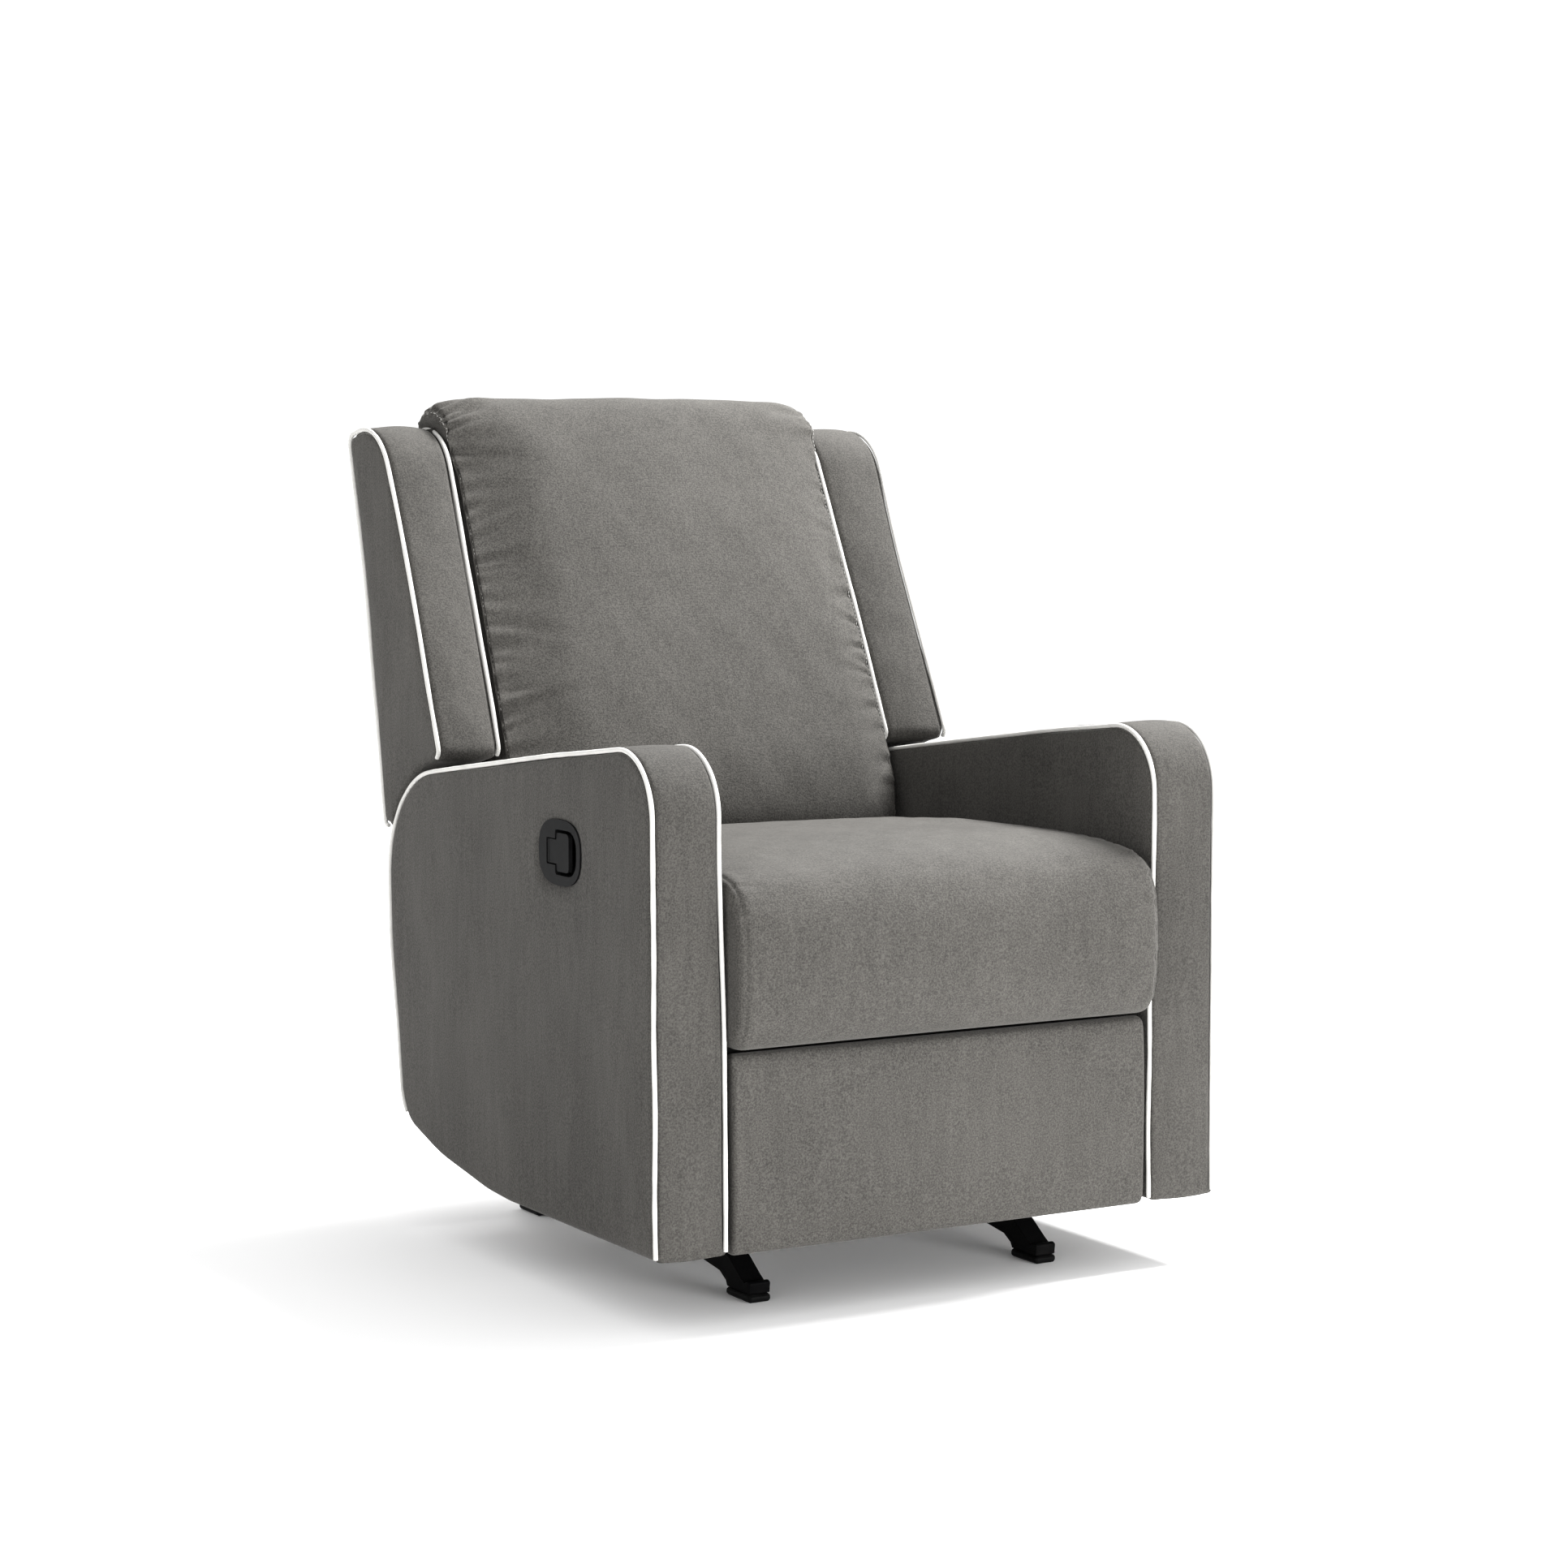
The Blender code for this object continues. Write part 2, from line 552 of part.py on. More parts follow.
panel_half = [(0.000, 0.499, 0), (0.3555, 0.499, 0.012), (0.3700, 0.003, 0.010),
              (0.281, 0.003, 0.004), (0.281, -0.290, 0.01), (0.0, -0.290, 0)]
right_half = rounded(panel_half)
left_half = [Vector((-p.x, p.y)) for p in right_half[::-1]]
back_plate("outside_back_panel", [right_half[:-1] + left_half[:-1]],
           (GAP, BACK_PANEL_THICK), FABRIC)
frame_rim = rounded([(-BACK_FRAME_HALF, -0.155, 0.01), (BACK_FRAME_HALF, -0.155, 0.01),
                     (BACK_FRAME_HALF - 0.006, 0.4815, 0.02),
                     (-BACK_FRAME_HALF + 0.006, 0.4815, 0.02)])
frame_hole = rounded([(-0.215, -0.100, 0.01), (0.215, -0.100, 0.01),
                      (0.215, 0.430, 0.01), (-0.215, 0.430, 0.01)])
back_plate("back_frame", [frame_rim, frame_hole], (-BACK_FRAME_THICK - GAP, -GAP), WOOD)

FRONT_T = -BACK_FRAME_THICK - 0.0010
BACK = [Vector(p) for p in (
    (0.556, 0.449), (0.5435, 0.462), (0.5400, 0.500), (0.5590, 0.560), (0.5850, 0.626),
    (0.6210, 0.708), (0.6570, 0.790), (0.6955, 0.874), (0.7330, 0.950), (0.7580, 1.000),
    (0.7720, 1.028), (0.7900, 1.040), (0.8150, 1.0435), (0.8420, 1.0380), (0.8600, 1.0200))]
BACK += [back_point(0.4845, -0.0008), back_point(0.4845, FRONT_T), back_point(0.3000, FRONT_T),
         back_point(0.1000, FRONT_T), back_point(-0.0600, FRONT_T), Vector((0.640, 0.449))]
BACK_PROUD = [0, 0.1, 0.5, 0.9, 1, 1, 1, 1, 1, 0.8, 0.5, 0.4, 0.4, 0.3, 0.1, 0, 0, 0, 0, 0, 0]
cushion("back_cushion", BACK, BACK_PROUD, 0.2877, 0.018, 0.012, FABRIC, recline,
        lean=WING_LEAN)


def wing_notch():
    """The arm's rear top edge, moved out by the notch gap, down to the wing's lowest point."""
    moved = inset(ARM, -NOTCH_GAP)
    edge = [q for p, q in zip(ARM, moved) if p.x > 0.56 and p.y > 0.40 and q.x > 0.592]
    kept = [q for q in edge if q.y > WING_TAIL_Z]
    last, below = kept[-1], edge[len(kept)]
    kept.append(last.lerp(below, (last.y - WING_TAIL_Z) / (last.y - below.y)))
    return [(q.x, q.y, 0.009 if q is kept[-1] else 0) for q in kept]


tail = back_point(-0.008, -0.0008)
crest = back_point(0.5020, -0.0008)
WING = rounded(
    [(0.5765, 0.6010, 0.010), (0.6180, 0.7000, 0), (0.6866, 0.8500, 0),
     (0.7650, 1.0200, 0.045), (crest.x, crest.y, 0.013), (tail.x, tail.y, 0.010)]
    + wing_notch()[::-1])


def lean_in(point):
    """Sideways shift of a wing at this height."""
    return WING_LEAN * (point[1] - WING_FOOT_Z)


def leaning_plate(name, outline, span, side):
    """A flat piece between two faces that lean inwards as they rise."""
    count = len(outline)
    form = bmesh.new()
    corners = [form.verts.new(world(side * (x - lean_in(p)), *p)) for x in span for p in outline]
    form.faces.new(corners[:count])
    form.faces.new(corners[count:])
    for i in range(count):
        j = (i + 1) % count
        form.faces.new((corners[i], corners[j], corners[count + j], corners[count + i]))
    bmesh.ops.recalc_face_normals(form, faces=form.faces)
    if form.calc_volume(signed=True) < 0:
        bmesh.ops.reverse_faces(form, faces=form.faces)
    mesh = bpy.data.meshes.new(name)
    form.to_mesh(mesh)
    form.free()
    return place(bpy.data.objects.new(name, mesh), FABRIC, recline)


inner_end = back_point(0.5060, -0.0220)
wing_body = inset(WING, WING_INSET)
for tag, side in SIDES:
    span = (WING_X[0] + WING_INSET, WING_X[1] - WING_INSET)
    wing = leaning_plate("wing_" + tag, wing_body, span, side)
    bevel(wing, 0.0026)
    line = inset(WING, 0.0018)
    start = min(range(len(line)), key=lambda i: (line[i] - Vector((0.5765, 0.6020))).length)
    line = line[start:] + line[:start]
    stop = min(range(len(line)), key=lambda i: (line[i] - tail).length) + 1
    inner_stop = min(range(len(line)), key=lambda i: (line[i] - inner_end).length) + 1
    for place_name, x, end in (("outer", WING_X[1] - 0.0018, stop),
                               ("inner", WING_X[0] + 0.0018, inner_stop)):
        path = [world(side * (x - lean_in(p)), *p) for p in line[:end]]
        tube(f"wing_piping_{place_name}_{tag}", path, PIPING_R, PIPING, recline)

foot_low, foot_high = (back_point(along, -BACK_FRAME_THICK - 2 * GAP)
                       for along in (-0.1440, -0.0815))
HINGE = rounded([
    (0.586, 0.386, 0.014), (0.640, 0.372, 0.004), (foot_low.x, foot_low.y, 0),
    (foot_high.x, foot_high.y, 0), (0.640, 0.438, 0.004), (0.586, 0.414, 0.014)])
for tag, side in SIDES:
    bracket = as_mesh(plate("back_bracket_" + tag, [HINGE], mirrored((0.2285, 0.2335), side),
                            STEEL, recline))
    reach = mirrored((0.2205, 0.2300), side)
    combine(bracket, rod("hinge_pin_" + tag, reach, RECLINE_AXIS, 0.006, STEEL), "UNION")
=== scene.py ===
"""Looks of the rocker recliner: padded covers, piping, moulded handle, painted steel, studio."""
import math

import bmesh
import bpy
import numpy as np
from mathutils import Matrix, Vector


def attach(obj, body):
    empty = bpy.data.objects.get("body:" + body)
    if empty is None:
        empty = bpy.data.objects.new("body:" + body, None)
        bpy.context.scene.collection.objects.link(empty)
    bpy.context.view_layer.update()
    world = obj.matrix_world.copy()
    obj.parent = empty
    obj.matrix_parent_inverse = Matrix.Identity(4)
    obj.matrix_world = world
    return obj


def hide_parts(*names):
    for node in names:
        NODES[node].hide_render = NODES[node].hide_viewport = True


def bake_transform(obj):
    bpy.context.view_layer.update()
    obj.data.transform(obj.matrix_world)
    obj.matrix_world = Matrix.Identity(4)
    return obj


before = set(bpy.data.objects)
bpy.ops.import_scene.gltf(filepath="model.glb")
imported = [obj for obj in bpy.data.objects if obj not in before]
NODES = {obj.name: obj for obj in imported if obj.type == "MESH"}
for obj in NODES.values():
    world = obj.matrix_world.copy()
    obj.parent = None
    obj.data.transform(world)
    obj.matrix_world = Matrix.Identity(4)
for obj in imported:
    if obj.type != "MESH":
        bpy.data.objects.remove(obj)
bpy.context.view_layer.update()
SIDES = (("l", -1), ("r", 1))

# ---- the chair's own measures, in metres, as in the CAD part --------------------------------
FRONT_Y = -0.421
ARM_BOTTOM_Z = 0.083
ARM_OUTER_X, ARM_INNER_X = 0.384, 0.290
BACK_FOOT = (0.740, 0.513)
BACK_RAKE = math.radians(14.5)
WING_X = (0.2855, 0.3755)
WING_LEAN = 0.0300
WING_FOOT_Z, WING_TAIL_Z, NOTCH_GAP = 0.600, 0.503, 0.010
WING_SLACK = 0.0005               # a wing's cover stops this far short of WING_X at each face
BEZEL_CENTRE, BEZEL_HALF = (0.2255, 0.521), (0.0525, 0.0385)
BEZEL_COVERS = 0.003              # how far the bezel reaches over the cloth's cut edge
WELD_GAP = 0.00002                # points nearer than this are one
SKIN = 0.0008                     # how far a cover stands in front of the back's rear plane

# ---- seams, piping and thread
PIPING_R = 0.0027
PIPING_STEP = 0.005               # between the points of a cord's line
PIPING_WAVE, PIPING_LUMP = 0.16, 0.035  # how long its wander and its swellings are
ARM_WELT_INSET, WING_WELT_INSET = 0.0025, 0.0018
ARM_WELT_END_Z = 0.145            # behind the front, the arm's piping ends at this height
SEAM_TURN = math.radians(37)      # where a cushion's seam lies on its rounded side
STITCH_RADIUS, STITCH_LENGTH, STITCH_PITCH = 0.00042, 0.0036, 0.0058
STITCH_BACK = 0.0042              # the stitches lie this far behind the back cushion's seam

# ---- cloth simulation of the cushions
CLOTH_FRAMES, CLOTH_PRESSURE = 20, 4.0
SEAT_TRAVEL, BACK_TRAVEL = 0.012, 0.014  # the furthest that a point may move


# ---- node materials -------------------------------------------------------------------------
class Nodes:
    """A short way to write a material's node tree."""

    def __init__(self, name):
        self.material = bpy.data.materials.new(name)
        self.material.use_nodes = True
        self.tree = self.material.node_tree
        self.shader = self.tree.nodes["Principled BSDF"]
        self.place = self.add("ShaderNodeTexCoord").outputs["Object"]

    def add(self, kind, **settings):
        node = self.tree.nodes.new(kind)
        for key, value in settings.items():
            setattr(node, key, value)
        return node

    def link(self, source, target):
        self.tree.links.new(source, target)

    def scaled(self, scale):
        node = self.add("ShaderNodeMapping")
        node.inputs["Scale"].default_value = scale
        self.link(self.place, node.inputs["Vector"])
        return node.outputs["Vector"]

    def noise(self, vector, scale=1.0, detail=2.0, roughness=0.5):
        node = self.add("ShaderNodeTexNoise")
        node.inputs["Scale"].default_value = scale
        node.inputs["Detail"].default_value = detail
        node.inputs["Roughness"].default_value = roughness
        self.link(vector, node.inputs["Vector"])
        return node.outputs["Fac"]

    def ramp(self, value, low, high, out_low=0.0, out_high=1.0):
        node = self.add("ShaderNodeMapRange")
        for key, number in (("From Min", low), ("From Max", high), ("To Min", out_low),
                            ("To Max", out_high)):
            node.inputs[key].default_value = number
        self.link(value, node.inputs["Value"])
        return node.outputs["Result"]

    def maths(self, operation, a, b):
        node = self.add("ShaderNodeMath", operation=operation)
        for socket, value in zip(node.inputs, (a, b)):
            if isinstance(value, (int, float)):
                socket.default_value = value
            else:
                self.link(value, socket)
        return node.outputs[0]

    def wave(self, vector, scale, distortion=0.0, detail=2.0, **kind):
        node = self.add("ShaderNodeTexWave", **kind)
        for key, number in (("Scale", scale), ("Distortion", distortion), ("Detail", detail)):
            node.inputs[key].default_value = number
        self.link(vector, node.inputs["Vector"])
        return node

    def mix(self, factor, a, b):
        node = self.add("ShaderNodeMix", data_type="RGBA")
        for socket, value in zip((node.inputs["Factor"], node.inputs[6], node.inputs[7]),
                                 (factor, a, b)):
            if isinstance(value, tuple):
                socket.default_value = (*value, 1.0)
            elif isinstance(value, (int, float)):
                socket.default_value = value
            else:
                self.link(value, socket)
        return node.outputs[2]

    def bump(self, height, strength, distance, under=None):
        node = self.add("ShaderNodeBump")
        node.inputs["Strength"].default_value = strength
        node.inputs["Distance"].default_value = distance
        self.link(height, node.inputs["Height"])
        if under is not None:
            self.link(under, node.inputs["Normal"])
        return node.outputs["Normal"]

    def finish(self, colour=None, roughness=None, normal=None, **constants):
        for socket, value in (("Base Color", colour), ("Roughness", roughness),
                              ("Normal", normal)):
            if value is not None and not isinstance(value, float):
                self.link(value, self.shader.inputs[socket])
            elif value is not None:
                self.shader.inputs[socket].default_value = value
        for key, value in constants.items():
            self.shader.inputs[key.replace("_", " ")].default_value = value
        return self.material


VELOUR_GREY = (0.0520, 0.0494, 0.0452)
PILE_DARK, PILE_LIGHT = 0.30, 1.70  # the darkest and lightest pile, as shares of the grey
GRAIN_SHARE = 0.50                  # of the pile's tone, with streaks, clouds and flecks the rest
THREADS_SCALE = 210.0


def velour(name, shade=1.0, streaked=0.12, clouded=0.10):
    """Brushed microfibre: nap streaks that run down the cloth, pile grain and a fine weave."""
    n = Nodes(name)
    streak = n.noise(n.scaled((95, 95, 13)), 1.0, 4.0, 0.6)
    cloud = n.noise(n.scaled((7, 7, 4)), 1.0, 2.0, 0.5)
    grain = n.noise(n.place, 480.0, 2.0, 0.65)
    fleck = n.noise(n.scaled((1500, 1500, 900)), 1.0, 0.0, 0.5)
    flecked = 1 - GRAIN_SHARE - streaked - clouded
    tone = n.maths("MULTIPLY", n.ramp(streak, 0.3, 0.7), streaked)
    for layer, low, high, share in ((cloud, 0.3, 0.7, clouded), (grain, 0.37, 0.63, GRAIN_SHARE),
                                    (fleck, 0.2, 0.8, flecked)):
        tone = n.maths("ADD", tone, n.maths("MULTIPLY", n.ramp(layer, low, high), share))
    colour = n.mix(tone, tuple(c * shade * PILE_DARK for c in VELOUR_GREY),
                   tuple(c * shade * PILE_LIGHT for c in VELOUR_GREY))
    threads = [n.wave(n.place, THREADS_SCALE, 1.2, 1.0, wave_type="BANDS",
                      bands_direction=axis).outputs["Fac"] for axis in "XYZ"]
    weave = n.maths("MULTIPLY", n.maths("MULTIPLY", threads[0], threads[2]), threads[1])
    soft = n.bump(n.noise(n.scaled((55, 55, 20)), 1.0, 3.0, 0.5), 0.30, 0.0014)
    pile = n.bump(grain, 0.50, 0.0009, soft)
    cloth = n.bump(weave, 0.35, 0.0005, pile)
    return n.finish(colour, n.ramp(grain, 0.2, 0.8, 0.78, 0.95), cloth, Sheen_Weight=0.10,
                    Sheen_Roughness=0.42, Sheen_Tint=(0.93, 0.91, 0.87, 1.0),
                    Specular_IOR_Level=0.14)


def lining(name):
    """Black non-woven dust cloth over the rails: pressed fibres with a dimpled surface."""
    n = Nodes(name)
    fibre = n.noise(n.scaled((700, 500, 700)), 1.0, 3.0, 0.7)
    dimple = n.add("ShaderNodeTexVoronoi")
    dimple.inputs["Scale"].default_value = 450.0
    n.link(n.place, dimple.inputs["Vector"])
    colour = n.mix(fibre, (0.004, 0.004, 0.004), (0.016, 0.0155, 0.015))
    return n.finish(colour, 0.9, n.bump(dimple.outputs["Distance"], 0.4, 0.0005),
                    Specular_IOR_Level=0.1)


def piping_cloth(name):
    """Off-white bias-cut cord cover: a slanting weave with a little soiling."""
    n = Nodes(name)
    soil = n.noise(n.place, 38.0, 3.0, 0.6)
    fibre = n.noise(n.place, 900.0, 2.0, 0.6)
    colour = n.mix(n.ramp(soil, 0.35, 0.75), (0.58, 0.572, 0.550), (0.49, 0.483, 0.460))
    colour = n.mix(n.maths("MULTIPLY", n.ramp(fibre, 0.35, 0.7), 0.35), colour,
                   (0.40, 0.395, 0.375))
    bias = n.wave(n.place, 260.0, 0.6, wave_type="BANDS", bands_direction="DIAGONAL")
    normal = n.bump(fibre, 0.4, 0.0003, n.bump(bias.outputs["Fac"], 0.5, 0.0004))
    return n.finish(colour, 0.85, normal, Sheen_Weight=0.15, Sheen_Roughness=0.5)


def thread(name):
    """Twisted sewing thread a little lighter than the velour."""
    n = Nodes(name)
    ply = n.wave(n.place, 700.0, wave_type="BANDS", bands_direction="DIAGONAL")
    colour = n.mix(ply.outputs["Fac"], (0.27, 0.26, 0.25), (0.44, 0.43, 0.41))
    return n.finish(colour, 0.7, n.bump(ply.outputs["Fac"], 0.5, 0.0002), Sheen_Weight=0.1)


def moulded(name, base, grain_scale=1500.0):
    """Matt moulded plastic or rubber with a fine spark-eroded grain and handling marks."""
    n = Nodes(name)
    grain = n.noise(n.place, grain_scale, 1.0, 0.5)
    rub = n.noise(n.place, 55.0, 3.0, 0.65)
    light = tuple(min(1.0, c * 1.5 + 0.004) for c in base)
    colour = n.mix(n.ramp(rub, 0.4, 0.8), base, light)
    rough = n.maths("ADD", n.ramp(grain, 0.2, 0.8, 0.36, 0.50), n.ramp(rub, 0.3, 0.7, -0.06, 0.08))
    return n.finish(colour, rough, n.bump(grain, 0.28, 0.0002), Specular_IOR_Level=0.06,
                    IOR=1.3)


def painted_steel(name):
    """Black powder coat: orange-peel skin, a little dust, brighter where edges are worn."""
    n = Nodes(name)
    peel = n.noise(n.place, 420.0, 2.0, 0.5)
    dust = n.noise(n.place, 24.0, 4.0, 0.6)
    edge = n.add("ShaderNodeNewGeometry").outputs["Pointiness"]
    worn = n.maths("MULTIPLY", n.ramp(edge, 0.56, 0.66), n.ramp(dust, 0.52, 0.72))
    colour = n.mix(n.ramp(dust, 0.4, 0.8), (0.0022, 0.0022, 0.0024), (0.0042, 0.0041, 0.0040))
    colour = n.mix(worn, colour, (0.030, 0.029, 0.028))
    return n.finish(colour, n.ramp(peel, 0.2, 0.8, 0.34, 0.50), n.bump(peel, 0.22, 0.0004),
                    Specular_IOR_Level=0.03, IOR=1.3)


def spring_steel(name):
    """Drawn wire with lengthwise die marks and some tarnish."""
    n = Nodes(name)
    drawn = n.noise(n.scaled((900, 900, 90)), 1.0, 2.0, 0.6)
    tarnish = n.noise(n.place, 60.0, 3.0, 0.6)
    colour = n.mix(n.ramp(tarnish, 0.35, 0.75), (0.30, 0.30, 0.31), (0.15, 0.14, 0.135))
    return n.finish(colour, n.ramp(drawn, 0.2, 0.8, 0.28, 0.48), n.bump(drawn, 0.2, 0.0002),
                    Metallic=0.9)


def timber(name):
    """Sawn softwood rail with growth rings and fibres along its length."""
    n = Nodes(name)
    bend = n.noise(n.scaled((3, 1, 14)), 1.0, 2.0, 0.5)
    rings = n.wave(n.scaled((1.2, 0.10, 1.0)), 26.0, 7.0, 3.0, wave_type="RINGS",
                   rings_direction="Y")
    rings.inputs["Detail Scale"].default_value = 1.4
    fibre = n.noise(n.scaled((450, 22, 450)), 1.0, 3.0, 0.6)
    colour = n.mix(rings.outputs["Fac"], (0.43, 0.27, 0.135), (0.60, 0.425, 0.245))
    colour = n.mix(n.maths("MULTIPLY", n.ramp(fibre, 0.3, 0.8), 0.45), colour,
                   (0.36, 0.22, 0.11))
    colour = n.mix(n.maths("MULTIPLY", n.ramp(bend, 0.4, 0.7), 0.25), colour,
                   (0.66, 0.49, 0.30))
    return n.finish(colour, n.ramp(fibre, 0.2, 0.8, 0.55, 0.75), n.bump(fibre, 0.35, 0.0004))


def floor_paint(name):
    """Pale matt studio floor."""
    n = Nodes(name)
    mottle = n.noise(n.place, 1.3, 2.0, 0.5)
    fine = n.noise(n.place, 240.0, 1.0, 0.5)
    colour = n.mix(mottle, (0.93, 0.93, 0.93), (0.96, 0.96, 0.96))
    return n.finish(colour, 0.75, n.bump(fine, 0.04, 0.0004), Specular_IOR_Level=0.2)


VELOUR = velour("velour")
# Painted shade: a copy of the velour 0.88 times as dark for the arm and wing covers, standing in
# for the weaker light on their sides; its extra streaks and clouds are the cloth's own.
VELOUR_PAINTED_SHADE = velour("velour_painted_shade", 0.88, streaked=0.15, clouded=0.20)
PIPING = piping_cloth("piping_cloth")
LINING = lining("dust_cloth")
THREAD = thread("stitch_thread")
PLASTIC = moulded("moulded_plastic", (0.0055, 0.0056, 0.0058))
RUBBER = moulded("glide_rubber_grained", (0.0020, 0.0020, 0.0020), 900.0)
STEEL = painted_steel("powder_coat")
SPRING = spring_steel("spring_steel")
TIMBER = timber("sawn_timber")
FINISHES = {"velour": VELOUR, "piping": PIPING, "black_steel": STEEL,
            "spring_wire": SPRING, "frame_wood": TIMBER, "black_plastic": PLASTIC,
            "rubber": RUBBER}
for node in NODES.values():
    for slot in node.material_slots:
        slot.material = FINISHES[slot.material.name.split(".")[0]]
for name in ("seat_rail_front", "footrest_board"):
    NODES[name].material_slots[0].material = LINING


# ---- outlines -------------------------------------------------------------------------------
ARC_STEP = math.radians(4)


def rounded(corners):
    """Outline points from (depth, height, radius) corners, each rounded by its radius."""
    points = []
    for i, (depth, height, radius) in enumerate(corners):
        here = np.array((depth, height), float)
        before = np.array(corners[i - 1][:2], float) - here
        after = np.array(corners[(i + 1) % len(corners)][:2], float) - here
        before /= np.linalg.norm(before)
        after /= np.linalg.norm(after)
        turn = math.pi - math.acos(max(-1.0, min(1.0, before @ after)))
        if radius == 0 or turn < 0.01:
            points.append(here)
            continue
        centre = here + unit(before + after) * (radius / math.cos(turn / 2))
        start = here + before * radius * math.tan(turn / 2) - centre
        end = here + after * radius * math.tan(turn / 2) - centre
        sweep = turn if start[0] * end[1] - start[1] * end[0] > 0 else -turn
        steps = max(3, math.ceil(turn / ARC_STEP))
        for k in range(steps + 1):
            c, s = math.cos(sweep * k / steps), math.sin(sweep * k / steps)
            points.append(centre + (start[0] * c - start[1] * s, start[0] * s + start[1] * c))
    return np.array(points)


def unit(vector):
    return vector / np.linalg.norm(vector)


def softened(points, rounds):
    """Chaikin corner cutting, which turns a coarse closed outline into a smooth one."""
    for _ in range(rounds):
        ahead = np.roll(points, -1, axis=0)
        points = np.stack([0.75 * points + 0.25 * ahead, 0.25 * points + 0.75 * ahead],
                          axis=1).reshape(-1, points.shape[1])
    return points


def distances(line):
    """How far along a line each of its points lies."""
    return np.concatenate([[0], np.cumsum(np.linalg.norm(np.diff(line, axis=0), axis=1))])


def resampled(points, step, closed=True):
    """The same line with evenly spaced points.

    A closed outline is measured by its first two columns, and the others go along.
    """
    line = np.vstack([points, points[:1]]) if closed else points
    along = distances(line[:, :2] if closed else line)
    count = max(4, round(along[-1] / step))
    at = np.linspace(0, along[-1], count + (0 if closed else 1), endpoint=not closed)
    return np.stack([np.interp(at, along, line[:, k]) for k in range(line.shape[1])], axis=1)


def outward(points):
    """Unit normals of a closed outline, pointing out of it."""
    ahead, behind = np.roll(points, -1, axis=0), np.roll(points, 1, axis=0)
    tangent = ahead[:, :2] - behind[:, :2]
    area = np.sum(points[:, 0] * ahead[:, 1] - points[:, 1] * ahead[:, 0])
    normal = np.stack([tangent[:, 1], -tangent[:, 0]], axis=1) * math.copysign(1, area)
    return normal / np.linalg.norm(normal, axis=1)[:, None]


def inset_outline(points, distance):
    """A closed outline moved in by a distance, or out by a negative one."""
    return points - outward(points) * distance


def smooth_step(value, low, high):
    """0 below low, 1 above high, and an S curve between."""
    t = np.clip((np.asarray(value, float) - low) / (high - low), 0, 1)
    return t * t * (3 - 2 * t)


RIPPLE_WAVES = 7


def ripple(points, wavelength, seed):
    """Smooth seeded noise of about unit size, as a sum of waves in many directions."""
    rng = np.random.default_rng(seed)
    total = np.zeros(len(points))
    for _ in range(RIPPLE_WAVES):
        direction = unit(rng.normal(size=points.shape[1]))
        length = wavelength * rng.uniform(0.7, 1.5)
        total += np.sin(2 * math.pi * (points @ direction) / length + rng.uniform(0, 6.28))
    return total / math.sqrt(RIPPLE_WAVES)


def side_on(depth, height, x):
    """World points from depth behind the front, height and x."""
    return np.stack([x, FRONT_Y + depth, height], axis=-1)


def back_point(along, behind):
    """A point (depth, height) given along and behind the back's rear plane."""
    up = (math.sin(BACK_RAKE), math.cos(BACK_RAKE))
    rear = (math.cos(BACK_RAKE), -math.sin(BACK_RAKE))
    return (BACK_FOOT[0] + up[0] * along + rear[0] * behind,
            BACK_FOOT[1] + up[1] * along + rear[1] * behind)


# ---- mesh makers ----------------------------------------------------------------------------
def linked(name, data):
    """A new object in the scene."""
    piece = bpy.data.objects.new(name, data)
    bpy.context.scene.collection.objects.link(piece)
    return piece


def new_piece(name, vertices, faces, material):
    mesh = bpy.data.meshes.new(name)
    mesh.from_pydata([tuple(map(float, v)) for v in vertices], [], faces)
    mesh.materials.append(material)
    mesh.validate()
    mesh.shade_smooth()
    return linked(name, mesh)


def vectors(items, key):
    """One vector property of all items, as an array."""
    out = np.empty(len(items) * 3, np.float32)
    items.foreach_get(key, out)
    return out.reshape(-1, 3).astype(float)


def coordinates(mesh):
    return vectors(mesh.vertices, "co")


def vertex_normals(mesh):
    return vectors(mesh.vertex_normals, "vector")


def set_coordinates(mesh, points):
    mesh.vertices.foreach_set("co", points.astype(np.float32).ravel())
    mesh.update()


def attribute(mesh, name):
    out = np.empty(len(mesh.vertices), np.float32)
    mesh.attributes[name].data.foreach_get("value", out)
    return out.astype(float)


def add_attribute(mesh, name, values):
    mesh.attributes.new(name, "FLOAT", "POINT").data.foreach_set(
        "value", np.asarray(values, np.float32))


def ring_faces(rings, count):
    """Quads between rings of count points each, numbered ring by ring."""
    faces = []
    for r in range(rings - 1):
        for i in range(count):
            j = (i + 1) % count
            faces.append((r * count + i, r * count + j, (r + 1) * count + j, (r + 1) * count + i))
    return faces


def face_outwards(piece):
    """Turn every face the same way, out of the closed form."""
    bpy.context.view_layer.objects.active = piece
    for other in bpy.context.selected_objects:
        other.select_set(False)
    piece.select_set(True)
    bpy.ops.object.mode_set(mode="EDIT")
    bpy.ops.mesh.select_all(action="SELECT")
    bpy.ops.mesh.normals_make_consistent(inside=False)
    bpy.ops.object.mode_set(mode="OBJECT")
    piece.select_set(False)


def applied(piece):
    """Replace the mesh by what its modifiers make of it."""
    graph = bpy.context.evaluated_depsgraph_get()
    mesh = bpy.data.meshes.new_from_object(piece.evaluated_get(graph))
    piece.modifiers.clear()
    piece.data = mesh


def subdivided(piece):
    """One smooth subdivision; the wide end caps are taken out for it and closed again after."""
    form = bmesh.new()
    form.from_mesh(piece.data)
    bmesh.ops.delete(form, geom=[f for f in form.faces if len(f.verts) > 4], context="FACES_ONLY")
    form.to_mesh(piece.data)
    form.free()
    piece.modifiers.new("smooth", "SUBSURF")
    applied(piece)
    form = bmesh.new()
    form.from_mesh(piece.data)
    bmesh.ops.holes_fill(form, edges=[e for e in form.edges if e.is_boundary], sides=0)
    form.to_mesh(piece.data)
    form.free()


